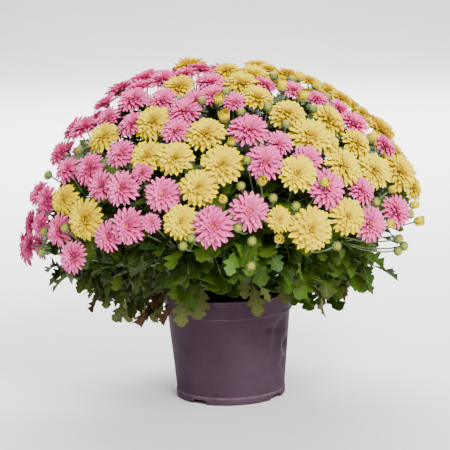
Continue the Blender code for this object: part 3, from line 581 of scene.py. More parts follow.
def spread_heads(heads):
    """Ease crowded heads apart, mostly along their lift, while they stay near home."""
    places = np.array([head.place for head in heads], dtype=float)
    homes = places.copy()
    axes = np.array([head.rise for head in heads], dtype=float)
    radii = np.array([head.radius for head in heads])
    heights = np.where([head.kind == "bloom" for head in heads], BLOOM_THICKNESS * radii, radii)
    reach = radii[:, None] + radii[None, :]
    depth = heights[:, None] + heights[None, :]
    for _ in range(SPREAD_STEPS):
        step = places[:, None, :] - places[None, :, :]
        normal = axes[:, None, :] + axes[None, :, :]
        normal /= np.linalg.norm(normal, axis=2, keepdims=True)
        rise = (step * normal).sum(axis=2)
        flat = step - normal * rise[:, :, None]
        width = np.linalg.norm(flat, axis=2)
        near = np.sqrt((width / reach) ** 2 + (rise / depth) ** 2)
        push = np.clip(1.0 - near, 0.0, 1.0)
        np.fill_diagonal(push, 0.0)
        upward = np.where(rise >= 0, 1.0, -1.0) * depth * push * SPREAD_LIFT
        sideways = reach * push * SPREAD_ASIDE / np.maximum(width, 1e-6)
        move = (normal * upward[:, :, None]).sum(axis=1) + (flat * sideways[:, :, None]).sum(axis=1)
        places += np.clip(move, -SPREAD_LIMIT, SPREAD_LIMIT) + (homes - places) * HOME_PULL
    for head, place in zip(heads, places):
        head.place = Vector(place)


def gather(things, places, count):
    """Share things out among so many groups of neighbours."""
    places = np.array(places, dtype=float)
    centres = [places[0]]
    while len(centres) < count:
        gaps = np.min([np.linalg.norm(places - centre, axis=1) for centre in centres], axis=0)
        centres.append(places[int(np.argmax(gaps))])
    centres = np.array(centres)
    for _ in range(GATHER_STEPS):
        owner = np.argmin(np.linalg.norm(places[:, None] - centres[None], axis=2), axis=1)
        for index in range(count):
            if np.any(owner == index):
                centres[index] = places[owner == index].mean(axis=0)
    return [[thing for thing, group in zip(things, owner) if group == index] for index in range(count)]


class Spray:
    """Neighbouring heads of one colour on the stalks of one fork."""

    def __init__(self, colour, members, name):
        self.colour = colour
        self.heads = members
        self.name = name
        self.middle = sum((head.place for head in members), Vector()) / len(members)
        self.fork = HEART.lerp(self.middle, FORK_SHARE[colour])
        self.foot = HEART.lerp(self.middle, BRANCH_SHARE)

    def stalk_root(self, index):
        share = 1.0 - 0.8 * index / max(len(self.heads), 6)
        return self.foot.lerp(self.fork, share)


heads = flower_heads()
spread_heads(heads)
sprays = []
for colour, count in SPRAYS.items():
    blooms = [head for head in heads if head.kind == "bloom" and head.colour == colour]
    for index, members in enumerate(gather(blooms, [head.place for head in blooms], count)):
        sprays.append(Spray(colour, members, "%s_spray_%02d" % (colour, index + 1)))
for head in heads:
    if head.kind != "bloom":
        fits = [s for s in sprays if head.colour in ("any", s.colour)]
        nearest = min(fits, key=lambda s: min((head.place - m.place).length for m in s.heads))
        nearest.heads.append(head)
for spray in sprays:
    spray.heads.sort(key=lambda head: (head.place - spray.middle).length)


# Stems
# Green stems stand in the soil, turn woody near it and branch low down; each
# branch ends at a spray. They thin out on the way, as grown stems do.
LEAFY_STEMS = 12
STEM_SPREAD = 0.060
STEM_DEPTH = 0.030
COLLAR = 0.008
KNOT_SHARE = 0.30
STEM_RADIUS = 0.0032
BRANCH_RADIUS = 0.0022
BRANCH_STEPS = 6


def closed_faces(rings, sides):
    """Faces from each ring of points to the next, and one at each end."""
    ends = [tuple(reversed(range(sides))), tuple(range((rings - 1) * sides, rings * sides))]
    return ring_faces(rings, sides) + ends


def tube(points, radii, sides=6):
    """A closed tube through points, with a radius at each."""
    rows = []
    guide = Vector((0.31, 0.17, 0.94))
    for index, place in enumerate(points):
        way = points[min(index + 1, len(points) - 1)] - points[max(index - 1, 0)]
        way.normalize()
        across = way.cross(guide)
        if across.length < 0.05:
            across = way.cross(Vector((1.0, 0.0, 0.0)))
        across.normalize()
        over = way.cross(across)
        for side in range(sides):
            angle = math.tau * side / sides
            rows.append(place + (across * math.cos(angle) + over * math.sin(angle)) * radii[index])
    return rows, closed_faces(len(points), sides)


def bowed(start, end, bow, steps):
    """Points of a run from start to end, bowed by a vector at its middle."""
    shares = [step / steps for step in range(steps + 1)]
    return [start.lerp(end, share) + bow * 4 * share * (1 - share) for share in shares]


class Growth:
    """Points and faces gathered into one piece. The blade of a point says where it
    lies: along the part, across it, and a number drawn once for the whole part."""

    def __init__(self):
        self.points = []
        self.faces = []
        self.blade = []
        self.kinds = []

    def add(self, points, faces, blade, kind=0):
        start = len(self.points)
        self.points.extend(points)
        self.faces.extend(tuple(start + corner for corner in face) for face in faces)
        self.kinds.extend([kind] * len(faces))
        self.blade.extend([blade] * len(points) if isinstance(blade, tuple) else blade)

    def piece(self, name, sharp_degrees, *materials):
        piece = new_piece(name, self.points, self.faces, *materials)
        mesh = piece.data
        mesh.polygons.foreach_set("material_index", self.kinds)
        layer = mesh.attributes.new("blade", "FLOAT_VECTOR", "POINT")
        layer.data.foreach_set("vector", np.array(self.blade, dtype=np.float32).ravel())
        smooth(piece, sharp_degrees)
        return piece


class LeafyStem:
    """A stem from the soil to its knot, with a branch to the foot of each spray."""

    def __init__(self, members, name):
        self.sprays = members
        self.name = name
        self.leaves = Growth()
        middle = sum((spray.middle for spray in members), Vector()) / len(members)
        self.knot = HEART.lerp(middle, KNOT_SHARE)
        flat = Vector((self.knot.x, self.knot.y, 0.0))
        lean = math.atan2(flat.length, max(self.knot.z - HEART.z, 0.001)) / (math.pi / 2)
        spot = flat.normalized() * STEM_SPREAD * min(lean, 1.0)
        self.root = Vector((spot.x, spot.y, SOIL_TOP - STEM_DEPTH))
        self.collar = Vector((spot.x, spot.y, SOIL_TOP + COLLAR))
        self.runs = [(self.collar, self.knot)] + [(self.knot, spray.foot) for spray in members]


def bark_green():
    finish = Finish("stem_green", 0.55)
    place = finish.place()
    green = finish.ramp(finish.noise(place, 60.0), (0.35, (0.085, 0.150, 0.045)),
                        (0.65, (0.150, 0.220, 0.085)))
    woody = finish.value(finish.split(place)["Z"], 1.0, 0.0, 0.128, 0.190)
    finish.colour(finish.mix(woody, green, (0.095, 0.070, 0.040)))
    finish.bump(finish.noise(place, 700.0, 3.0), 0.3, 0.0004)
    return finish.material


stems = []
for index, members in enumerate(gather(sprays, [spray.middle for spray in sprays], LEAFY_STEMS)):
    stems.append(LeafyStem(members, "leafy_stem_%02d" % (index + 1)))
stem_finish = bark_green()
stem_draw = random.Random(31)
for stem in stems:
    growth = Growth()
    main = [stem.root, stem.collar, stem.collar.lerp(stem.knot, 0.5), stem.knot]
    growth.add(*tube(main, [STEM_RADIUS] * 3 + [0.9 * STEM_RADIUS], 8), (0.0, 0.0, 0.0))
    for spray in stem.sprays:
        bow = Vector([stem_draw.uniform(-0.004, 0.004) for _ in range(3)])
        run = bowed(stem.knot, spray.foot, bow, BRANCH_STEPS)
        thinning = [BRANCH_RADIUS * (1.05 - 0.05 * step) for step in range(BRANCH_STEPS + 1)]
        growth.add(*tube(run, thinning), (0.0, 0.0, 0.0))
    branches = growth.piece(stem.name + "_branches", 70, stem_finish)
    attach(branches, "root")
    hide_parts(stem.name)


# Leaves
# Soft lobed leaves with a sunk midrib, side veins to each lobe and a raised
# blade between them. They hang in tiers under the blooms and fill the gaps
# between the sprays; the lowest are old, some of them brown and curled.
LEAF_THICKNESS = 0.0004
LEAF_ROWS = [
    # share of the length, half width and how much of a lobe's tip it is
    (0.00, 0.018, 0.0), (0.07, 0.040, 0.0), (0.15, 0.085, 0.2), (0.21, 0.185, 0.7),
    (0.27, 0.245, 1.0), (0.32, 0.225, 0.7), (0.36, 0.145, 0.0), (0.41, 0.215, 0.5),
    (0.47, 0.315, 0.9), (0.53, 0.335, 1.0), (0.58, 0.280, 0.6), (0.62, 0.165, 0.0),
    (0.67, 0.205, 0.5), (0.73, 0.255, 1.0), (0.79, 0.225, 0.7), (0.84, 0.155, 0.2),
    (0.90, 0.130, 0.5), (0.955, 0.085, 0.8)]
PLAIN_ROWS = [LEAF_ROWS[row] for row in (0, 3, 4, 6, 8, 9, 11, 13, 15, 17)]
FINE_COLUMNS = (-1.0, -0.5, 0.0, 0.5, 1.0)
PLAIN_COLUMNS = (-1.0, 0.0, 1.0)
# Kinds of skin
GREEN, OLD, DRY, SHADED, WOOD = range(5)
LEAF_LOOKS = {
    # base, light, vein and margin colour (wear, and a painted highlight on curled edges), and how far it
    # is worn
    "leaf_green": ((0.018, 0.050, 0.004), (0.084, 0.160, 0.010), (0.110, 0.180, 0.040),
                   (0.130, 0.120, 0.015), 0.25),
    "leaf_old": ((0.066, 0.086, 0.016), (0.190, 0.205, 0.055), (0.200, 0.220, 0.090),
                 (0.170, 0.080, 0.010), 0.55),
    "leaf_dry": ((0.026, 0.008, 0.006), (0.130, 0.048, 0.016), (0.210, 0.110, 0.050),
                 (0.060, 0.018, 0.010), 0.60),
    "leaf_shaded": ((0.013, 0.024, 0.002), (0.046, 0.066, 0.005), (0.090, 0.130, 0.025),
                    (0.130, 0.140, 0.030), 0.12)}
OLD_BELOW = 0.165
GOLDEN_ANGLE = math.pi * (3 - math.sqrt(5))
leaf_draw = random.Random(23)


def leaf_blade(root, way, up_hint, length, width, droop, roll, curl, rows=LEAF_ROWS, columns=FINE_COLUMNS):
    """A lobed blade: rows of points, upper over lower, slanting towards the tip."""
    way = way.normalized()
    side = way.cross(up_hint).normalized()
    side.rotate(Matrix.Rotation(roll, 3, way))
    lobe_size = [leaf_draw.uniform(0.86, 1.14) for _ in range(6)]
    points, blade, faces = [], [], []
    here = root.copy()
    last = 0.0
    chance = leaf_draw.random()
    for share, half, lobe in rows + [(1.0, 0.0, 1.0)]:
        bent = way.copy()
        bent.rotate(Matrix.Rotation(-droop * share, 3, side))
        here = here + bent * (share - last) * length
        last = share
        up = side.cross(bent).normalized()
        for across in columns:
            reach = half * width * length * abs(across)
            reach *= lobe_size[min(int(share * 3), 2) + (3 if across > 0 else 0)]
            turn_up = curl * reach * abs(across) / (0.3 * length)
            puff = 0.010 * length * math.sin(math.pi * abs(across)) * (0.4 + lobe)
            wave = 0.012 * length * math.sin(9 * share + 5 * chance + across) * abs(across)
            lift = turn_up * reach + puff + wave
            out = side * reach * math.copysign(1.0, across) if across else Vector()
            point = here + out * math.cos(0.5 * turn_up) + bent * 0.42 * reach + up * lift
            for layer in (0.5, -0.5):
                points.append(point + up * LEAF_THICKNESS * layer)
                blade.append((share, across, chance))
    wide = 2 * len(columns)
    for row in range(len(rows)):
        for column in range(len(columns) - 1):
            a, b = wide * row + 2 * column, wide * (row + 1) + 2 * column
            faces += [(a, a + 2, b + 2, b), (a + 1, b + 1, b + 3, a + 3)]
        a, b = wide * row, wide * (row + 1)
        faces.append((a, b, b + 1, a + 1))
        a, b = a + wide - 2, b + wide - 2
        faces.append((a, a + 1, b + 1, b))
    for column in range(len(columns) - 1):
        a, b = 2 * column, wide * len(rows) + 2 * column
        faces += [(a, a + 1, a + 3, a + 2), (b, b + 2, b + 3, b + 1)]
    return points, faces, blade


def leaf_finish(name, base, light, vein, highlight_and_wear, wear):
    """Leaf skin: paler veins, darker and lighter patches, worn margins that also carry a painted highlight
    of curled edges.
    """
    finish = Finish(name, 0.5, Specular_IOR_Level=0.20)
    along, across, chance = finish.split(finish.blade())
    wide = finish.work("ABSOLUTE", across)
    place = finish.place()
    cloud = finish.noise(place, 70.0)
    hue = finish.plus(finish.times(chance, 0.6), finish.times(cloud, 0.4))
    skin = finish.mix(finish.value(hue, 0.0, 1.0, 0.25, 0.75), base, light)
    midrib = finish.value(wide, 1.0, 0.0, 0.03, 0.12)
    spread = finish.work("SINE", finish.times(finish.work("SUBTRACT", along, 0.27), 24.2))
    ribs = finish.value(finish.work("ABSOLUTE", spread), 1.0, 0.0, 0.06, 0.22)
    veins = finish.work("MAXIMUM", midrib, finish.times(ribs, 0.5))
    skin = finish.mix(finish.times(veins, 0.55), skin, vein)
    # Margins: partly wear, partly a painted highlight where curled edges catch the light
    margin = finish.times(finish.value(wide, 0.0, 1.0, 0.55, 1.0), finish.noise(place, 45.0, 3.0))
    patch = finish.value(finish.plus(margin, finish.times(chance, wear)), 0.0, 1.0, 0.62, 0.95)
    finish.colour(finish.mix(patch, skin, highlight_and_wear))
    finish.gloss(finish.value(cloud, 0.42, 0.62, 0.3, 0.7))
    relief = finish.work("SUBTRACT", finish.noise(place, 420.0, 3.0), finish.times(veins, 1.2))
    finish.bump(relief, 0.5, 0.0006)
    return finish.material


class LeafPlan:
    """Where a leaf's tip is, which way it points and how it hangs."""

    def __init__(self, tip, heading, dip, droop, length, width, age, curl, hint=UP):
        droop = max(0.0, min(droop, math.pi + 2 * dip))
        self.tip, self.heading, self.dip, self.droop = tip, heading, dip, droop
        self.length, self.width, self.age, self.curl, self.hint = length, width, age, curl, hint
        self.rows, self.columns = LEAF_ROWS, FINE_COLUMNS

    def plain(self):
        """The leaf in fewer rows and columns, for where little of it is seen."""
        self.rows, self.columns = PLAIN_ROWS, PLAIN_COLUMNS
        return self


# The skirt: tiers of hanging leaves under the blooms, and a fill behind them. It hangs
# clear of the rim, higher in front and outwards, and it is narrow at the bare right side.
SKIRT_TIERS = ((0.95, 0.004, 20), (0.55, 0.004, 20), (0.15, 0.004, 13), (0.70, 0.046, 15))
SKIRT_FILL = 150
SKIRT_INNER = 0.112
SKIRT_OUTER = 0.237
BARE_SIDE_CUT = 0.045
SKIRT_LOW = 0.098
SKIRT_SLOPE = 0.38
FRONT_LIFT = 0.040
RIM_CLEARANCE = 0.092


def frontness(angle):
    return max(0.0, -math.sin(angle)) ** 2


def skirt_floor(angle, radius):
    """The lowest height that foliage hangs to at an angle and a distance from the axis."""
    return SKIRT_LOW + SKIRT_SLOPE * (radius - 0.10) + FRONT_LIFT * frontness(angle)


def skirt_radius(angle, share):
    """A share of the way from the inner to the outer edge of the skirt."""
    outer = SKIRT_OUTER - BARE_SIDE_CUT * max(0.0, math.cos(angle))
    return SKIRT_INNER + (outer - SKIRT_INNER) * share


def skirt_leaf(angle, share, rise):
    draw = leaf_draw
    radius = skirt_radius(angle, share)
    height = skirt_floor(angle, radius) + rise
    tip = around(angle, radius, height)
    left_front = tip.x < -0.03 and tip.y < 0.10
    length = draw.uniform(0.024, 0.038) if left_front else draw.uniform(0.032, 0.047)
    width = draw.uniform(0.55, 0.95) if left_front else draw.uniform(0.8, 1.15)
    dip = draw.uniform(-0.75, -0.10)
    if height < 0.150:
        run = min(0.8 * length, radius - RIM_CLEARANCE)
        dip = min(dip, -math.acos(max(run, 0.2 * length) / length))
    age = SHADED if left_front and draw.random() < 0.7 else GREEN
    if height < OLD_BELOW:
        age = OLD if draw.random() < 0.45 else age
    if tip.x < -0.06 and height < 0.135 and draw.random() < 0.45:
        age = DRY
    elif height < 0.140 and draw.random() < 0.10:
        age = DRY
    curl = draw.uniform(0.9, 1.5) if age == DRY else draw.uniform(0.1, 0.7)
    heading = angle + draw.uniform(-0.7, 0.7)
    return LeafPlan(tip, heading, dip, draw.uniform(0.3, 1.0), length, width, age, curl)


# Leaves within the dome, spread over its levels: a few just under the blooms, deeper
# layers that close the gaps between the sprays, and a backing behind the rear blooms
UPPER_LEAVES = 22
UPPER_DEPTH = 0.88
INNER_LAYERS = [
    # leaves, lowest level, span of levels, first angle, least and greatest depth, length, width
    (300, 0.02, 0.96, 0.7, 0.66, 0.93, 1.0, None), (380, 0.10, 0.89, 2.6, 0.84, 0.95, 1.15, None),
    (240, 0.03, 0.95, 1.9, 0.60, 0.78, 1.7, 1.25)]
BACKING_LEAVES = 150


def inner_leaf(level, angle, depth):
    draw = leaf_draw
    tip = HEART.lerp(DOME_CENTRE + from_centre(angle, level), depth)
    dip = math.atan2(level, math.sqrt(1 - level ** 2)) - draw.uniform(0.35, 1.25)
    return LeafPlan(tip, angle + draw.uniform(-0.8, 0.8), dip, draw.uniform(0.1, 0.7),
                    draw.uniform(0.032, 0.046), draw.uniform(0.8, 1.15), GREEN, draw.uniform(0.0, 0.4))


def levels(lowest, span, count):
    return [lowest + span * (index + 0.5) / count for index in range(count)]


# Leaves that hang over the front of the rim and at the left of the pot, as they are seen:
# pixel of the tip, length, width, and age as green, old, dry or shaded
RIM_FRONT = -0.096
RIM_HALF = 0.085
BESIDE_RIM = 0.06
RIM_LEAVES = [
    (181, 327, 0.048, 1.00, 1), (197, 319, 0.044, 1.05, 1), (190, 312, 0.040, 0.95, 0),
    (258, 317, 0.044, 0.90, 1), (270, 302, 0.034, 0.60, 1), (245, 299, 0.034, 0.80, 1),
    (231, 293, 0.036, 1.00, 0), (305, 303, 0.040, 0.90, 1), (288, 290, 0.040, 0.70, 0),
    (174, 300, 0.040, 0.90, 0), (214, 292, 0.034, 0.80, 1)]
LEFT_LEAVES = [
    (113, 321, 0.036, 1.00, 1), (124, 312, 0.034, 1.05, 1), (118, 303, 0.042, 1.05, 3),
    (104, 301, 0.034, 0.90, 3), (139, 325, 0.028, 1.15, 2), (147, 321, 0.030, 1.10, 2),
    (152, 321, 0.036, 1.10, 1), (163, 325, 0.028, 0.90, 2), (167, 315, 0.028, 0.90, 2),
    (158, 309, 0.034, 1.10, 2), (134, 306, 0.046, 1.20, 3), (145, 303, 0.038, 1.20, 2),
    (151, 296, 0.040, 1.20, 3), (163, 301, 0.044, 1.25, 1), (127, 322, 0.028, 0.95, 1),
    (141, 313, 0.038, 1.10, 1), (171, 306, 0.046, 1.20, 1), (95, 293, 0.030, 0.90, 3),
    (110, 291, 0.036, 1.10, 3), (126, 294, 0.042, 1.20, 3), (139, 292, 0.044, 1.20, 3),
    (155, 288, 0.042, 1.20, 3), (168, 290, 0.044, 1.20, 0), (186, 291, 0.042, 1.15, 1),
    (62, 277, 0.030, 0.85, 3), (71, 283, 0.032, 0.90, 3), (81, 288, 0.034, 1.00, 3),
    (89, 291, 0.030, 0.90, 3), (67, 271, 0.030, 0.90, 0), (78, 277, 0.034, 1.00, 3)]


def tip_at(across, down, depth):
    """The place at this depth that is seen at a pixel."""
    line = sight(across, down)
    return EYE + line * ((depth - EYE.y) / line.y)


plans = []
for share, rise, count in SKIRT_TIERS:
    for index in range(count):
        angle = math.tau * (index + leaf_draw.uniform(-0.25, 0.25)) / count
        plans.append(skirt_leaf(angle, share, rise))
for index, level in enumerate(levels(0.12, 0.86, UPPER_LEAVES)):
    plans.append(inner_leaf(level, index * GOLDEN_ANGLE, UPPER_DEPTH))
for index in range(SKIRT_FILL):
    share = leaf_draw.random() ** 0.8
    plans.append(skirt_leaf(index * GOLDEN_ANGLE, share, 0.090 * leaf_draw.random() ** 1.3))
for count, lowest, span, start, least, greatest, longer, width in INNER_LAYERS:
    for index, level in enumerate(levels(lowest, span, count)):
        plan = inner_leaf(level, index * GOLDEN_ANGLE + start, leaf_draw.uniform(least, greatest)).plain()
        plan.length *= longer
        plan.width = width or plan.width
        plans.append(plan)
for level in levels(0.25, 0.66, BACKING_LEAVES):
    angle = leaf_draw.uniform(-0.3, math.pi + 0.3)
    plans.append(inner_leaf(level, angle, leaf_draw.uniform(0.90, 0.97)).plain())
for across, down, length, width, age in RIM_LEAVES:
    tip = tip_at(across, down, RIM_FRONT)
    if abs(tip.x) > RIM_HALF:
        tip += sight(across, down).normalized() * BESIDE_RIM
    heading = math.atan2(-1.0, tip.x * 9)
    plans.append(LeafPlan(tip, heading, -1.15, 0.5, length, width, age, 0.2, Vector((0, -1, 0.6))))
for across, down, length, width, age in LEFT_LEAVES:
    tip = tip_at(across, down, leaf_draw.uniform(-0.05, 0.0))
    curl = 1.3 if age == DRY else 0.3
    hint = Vector((leaf_draw.uniform(-0.4, 0.4), -1, 0.6))
    heading = math.pi + leaf_draw.uniform(-0.9, 0.6)
    plans.append(LeafPlan(tip, heading, -1.2, 0.5, length, width, age, curl, hint))

# Each leaf hangs on a petiole from the nearest stem or branch
PETIOLE_RADIUS = 0.0009
PETIOLE_FOOT_RADIUS = 0.0013


def nearest_stem(joint):
    """The stem, and the place on it, that a petiole or twig comes from."""
    best = None
    for stem in stems:
        for start, end in stem.runs:
            share = (joint - start).dot(end - start) / (end - start).length_squared
            root = start.lerp(end, min(max(share - 0.25, 0.08), 0.92))
            gap = (joint - root).length
            if best is None or gap < best[0]:
                best = (gap, stem, root)
    return best


for plan in plans:
    rise = plan.dip + 0.5 * plan.droop
    way = around(plan.heading, math.cos(rise), math.sin(rise))
    points, faces, blade = leaf_blade(Vector(), way, plan.hint, plan.length, plan.width, plan.droop,
                                      leaf_draw.uniform(-0.5, 0.5), plan.curl, plan.rows, plan.columns)
    joint = plan.tip - points[-len(plan.columns) - 1]
    gap, stem, root = nearest_stem(joint)
    steps = 4 if plan.rows is LEAF_ROWS else 2
    petiole = bowed(root, joint, UP * (0.12 * gap), steps)
    sizes = [PETIOLE_FOOT_RADIUS] + [PETIOLE_RADIUS] * steps
    stem.leaves.add(*tube(petiole, sizes, 3 + steps // 2), (0.0, 0.0, 0.5), WOOD)
    stem.leaves.add([joint + point for point in points], faces, blade, plan.age)

# Side twigs of the skirt: each arches out from a branch and bends down with
# leaves all round it. Those at the left front are short, dark and curled.
TWIGS = 84
TWIG_STEPS = 12
TWIG_RADIUS = 0.0017
TWIG_THINNING = 0.00006
TWIG_LEAVES = 8
LEFT_TWIG_LEAVES = 11
TWIG_LEAF_REACH = 0.03
RIM_CLEAR_HEIGHT = 0.142
for index in range(TWIGS):
    angle = index * GOLDEN_ANGLE
    radius = skirt_radius(angle, leaf_draw.random() ** 0.7)
    raised = 0.012 + 0.028 * frontness(angle) + 0.014 * max(0.0, math.cos(angle))
    height = skirt_floor(angle, radius) + raised + 0.060 * leaf_draw.random() ** 1.6
    end = around(angle, radius, height)
    left_front = end.x < -0.02 and end.y < 0.12
    gap, stem, root = nearest_stem(end + UP * 0.045)
    twig = bowed(root, end, UP * (0.22 * (end - root).length), TWIG_STEPS)
    thinning = [TWIG_RADIUS - TWIG_THINNING * step for step in range(TWIG_STEPS + 1)]
    stem.leaves.add(*tube(twig, thinning, 5), (0.0, 0.0, 0.5), WOOD)
    leaves_here = LEFT_TWIG_LEAVES if left_front else TWIG_LEAVES
    for number in range(leaves_here):
        step = TWIG_STEPS * (0.38 + 0.62 * number / (leaves_here - 1))
        low = min(int(step), TWIG_STEPS - 1)
        joint = twig[low].lerp(twig[low + 1], step - low)
        run = (twig[low + 1] - twig[low]).normalized()
        out = run.orthogonal().normalized()
        out.rotate(Matrix.Rotation(number * GOLDEN_ANGLE + index, 3, run))
        way = run * leaf_draw.uniform(0.3, 0.9) + out
        way = (way + UP * leaf_draw.uniform(-0.5, 0.2)).normalized()
        outer = joint + way * TWIG_LEAF_REACH
        if outer.z < RIM_CLEAR_HEIGHT and outer.xy.length < RIM_CLEARANCE:
            continue
        length = leaf_draw.uniform(0.017, 0.030) if left_front else leaf_draw.uniform(0.026, 0.042)
        age = SHADED if left_front and leaf_draw.random() < 0.75 else GREEN
        if joint.z < OLD_BELOW and leaf_draw.random() < 0.35:
            age = OLD
        if left_front and joint.z < 0.150 and leaf_draw.random() < 0.40:
            age = DRY
        curl = leaf_draw.uniform(0.5, 1.5) if left_front else leaf_draw.uniform(0.1, 0.8)
        foot = joint + way * 0.006
        points, faces, blade = leaf_blade(
            foot, way, UP + 0.3 * out, length, leaf_draw.uniform(0.8, 1.2),
            leaf_draw.uniform(0.2, 1.1), leaf_draw.uniform(-0.6, 0.6), curl, PLAIN_ROWS)
        stem.leaves.add(*tube([joint, foot], [0.0009, 0.0008], 4), (0.0, 0.0, 0.5), WOOD)
        stem.leaves.add(points, faces, blade, age)

leaf_skins = [leaf_finish(name, *looks) for name, looks in LEAF_LOOKS.items()]
for stem in stems:
    leaves = stem.leaves.piece(stem.name + "_leaves", 50, *leaf_skins, stem_finish)
    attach(leaves, "root")
    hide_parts(stem.name)


# Stalks and buds
# Each head stands on a thin grey-green stalk that widens into a cup of green
# scales. Closed buds are pale balls wrapped in those scales.
STALK_RADIUS = 0.0011
STALK_STEPS = 6
FORK_RADII = [0.0018, 0.0017, 0.0016, 0.0015, 0.0014]
HEAD_CUPS = {
    # how far the neck is below the head, width of the cup and its height, in radii of the head
    "bloom": (0.30, 0.24, 0.22), "cup": (0.95, 0.80, 0.60), "bud": (0.85, 0.55, 0.35)}
BUD_RINGS = 7
BUD_SLICES = 14
BUD_SCALES = 9
# One scale from foot to point: its angle up round the bud, and its half width
SCALE_ROWS = [(0.35, 0.24), (1.05, 0.36), (1.75, 0.26), (2.25, 0.04)]


def bud_ball(head, growth):
    """A round bud, ribbed by its folded petals, with pointed scales round its base."""
    radius, axis = head.radius, head.axis
    points, blade = [], []
    chance = (head.turn * 7.3) % 1.0
    for ring in range(BUD_RINGS):
        level = ring / (BUD_RINGS - 1)
        lean = math.pi * (0.08 + 0.84 * level)
        for step in range(BUD_SLICES):
            angle = math.tau * step / BUD_SLICES + 0.5 * level
            ridge = 1.0 + (0.05 if step % 2 else -0.05) * math.sin(math.pi * level)
            point = head.place + head.outwards(angle) * (radius * math.sin(lean) * ridge)
            points.append(point - axis * math.cos(lean) * radius * 0.80)
            blade.append((level, (step % 2) * 1.0, chance))
    growth.add(points, closed_faces(BUD_RINGS, BUD_SLICES), blade, 1)
    for step in range(BUD_SCALES):
        out = head.outwards(math.tau * step / BUD_SCALES + head.turn)
        scale = []
        for lean, half in SCALE_ROWS:
            middle = head.place + (out * math.sin(lean) - axis * math.cos(lean) * 0.82) * radius * 1.06
            bulge = (out * math.sin(lean) - axis * math.cos(lean)) * radius * 0.09
            side = axis.cross(out) * half * radius
            scale += [middle - side, middle + bulge, middle + side, middle - bulge * 0.4]
        growth.add(scale, closed_faces(len(SCALE_ROWS), 4), (0.1, 0.0, 0.2))


def stalk_green():
    finish = Finish("stalk_green", 0.6)
    place = finish.place()
    finish.colour(finish.ramp(finish.noise(place, 120.0), (0.35, (0.110, 0.175, 0.060)),
                              (0.65, (0.200, 0.270, 0.125))))
    finish.bump(finish.noise(place, 900.0, 2.0), 0.3, 0.0003)
    return finish.material


def bud_skin():
    finish = Finish("bud_skin", 0.55)
    level, ridge = finish.split(finish.blade())[:2]
    green = finish.ramp(level, (0.30, (0.026, 0.058, 0.003)), (0.64, (0.080, 0.125, 0.005)),
                        (0.94, (0.36, 0.31, 0.003)))
    finish.colour(finish.mix(finish.times(ridge, 0.45), green, (0.140, 0.175, 0.012)))
    finish.bump(finish.noise(finish.place(), 800.0, 2.0), 0.2, 0.0003)
    return finish.material


stalk_finish = stalk_green()
bud_finish = bud_skin()
for spray in sprays:
    growth = Growth()
    fork = bowed(spray.foot, spray.fork, Vector(), len(FORK_RADII) - 1)
    growth.add(*tube(fork, FORK_RADII), (0.0, 0.0, 0.0))
    for index, head in enumerate(spray.heads):
        base, cup, rise = [share * head.radius for share in HEAD_CUPS[head.kind]]
        start = spray.stalk_root(index)
        neck = head.place - head.axis * base
        reach = (neck - start).length
        knee = start.lerp(neck, 0.6) + head.axis * 0.1 * reach
        if head.kind != "bloom":
            knee = start.lerp(neck, 0.68) - UP * (0.16 * reach)
        route = []
        for step in range(STALK_STEPS + 1):
            share = step / STALK_STEPS
            route.append(start.lerp(knee, share).lerp(knee.lerp(neck, share), share))
        route += [neck + head.axis * rise * share for share in (0.25, 0.7, 1.0)]
        sizes = [STALK_RADIUS] * (STALK_STEPS + 1) + [0.55 * cup, 0.95 * cup, cup]
        growth.add(*tube(route, sizes, 8), (0.2, 0.0, 0.0))
        if head.kind == "bud":
            bud_ball(head, growth)
    stalks = growth.piece(spray.name + "_stalks", 60, stalk_finish, bud_finish)
    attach(stalks, "root")
    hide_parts(spray.name)


# Blooms
# Double flowers: rows of narrow cupped petals, flat at the rim and steeper
# towards the middle. The pink ones have pointed petals and a small gold eye;
# the yellow ones are fuller, with rounder petals that close over the middle.
PETAL_SPAN = np.array([0.0, 0.30, 0.62, 0.87, 1.0])
PETAL_SHAPE = {
    "pink": np.array([0.34, 0.72, 1.00, 0.74, 0.0]),
    "yellow": np.array([0.36, 0.76, 1.06, 0.86, 0.0])}
EYE_FLORETS = 13
# Petals in a row, foot radius, foot height, length, half width, first and last rise in degrees
PETAL_ROWS = {
    "pink": [
        (19, 0.17, -0.08, 0.85, 0.104, 12, -14), (17, 0.15, -0.02, 0.80, 0.104, 24, 0),
        (14, 0.13, 0.02, 0.69, 0.100, 37, 12), (11, 0.11, 0.05, 0.55, 0.095, 51, 24),
        (9, 0.085, 0.08, 0.42, 0.095, 63, 38), (7, 0.060, 0.10, 0.27, 0.080, 74, 58)],
    "yellow": [
        (20, 0.17, -0.09, 0.86, 0.112, 8, -16), (18, 0.15, -0.03, 0.80, 0.112, 20, -4),
        (16, 0.13, 0.02, 0.71, 0.108, 32, 8), (13, 0.11, 0.06, 0.59, 0.104, 45, 18),
        (10, 0.085, 0.09, 0.46, 0.095, 58, 32), (8, 0.060, 0.12, 0.34, 0.085, 70, 50),
        (6, 0.030, 0.14, 0.24, 0.075, 80, 74)],
    "cup": [
        (12, 0.50, -0.50, 1.60, 0.300, 60, 122), (9, 0.35, -0.30, 1.35, 0.270, 66, 120),
        (6, 0.18, -0.10, 1.05, 0.220, 74, 112)]}
PETAL_THICKNESS = 0.00025
LAST_ROW = 4 * (len(PETAL_SPAN) - 2)
PETAL_FACES = ring_faces(len(PETAL_SPAN) - 1, 4)
PETAL_FACES += [(LAST_ROW + corner, LAST_ROW + (corner + 1) % 4, LAST_ROW + 4) for corner in range(4)]
PETAL_FACES.append((3, 2, 1, 0))


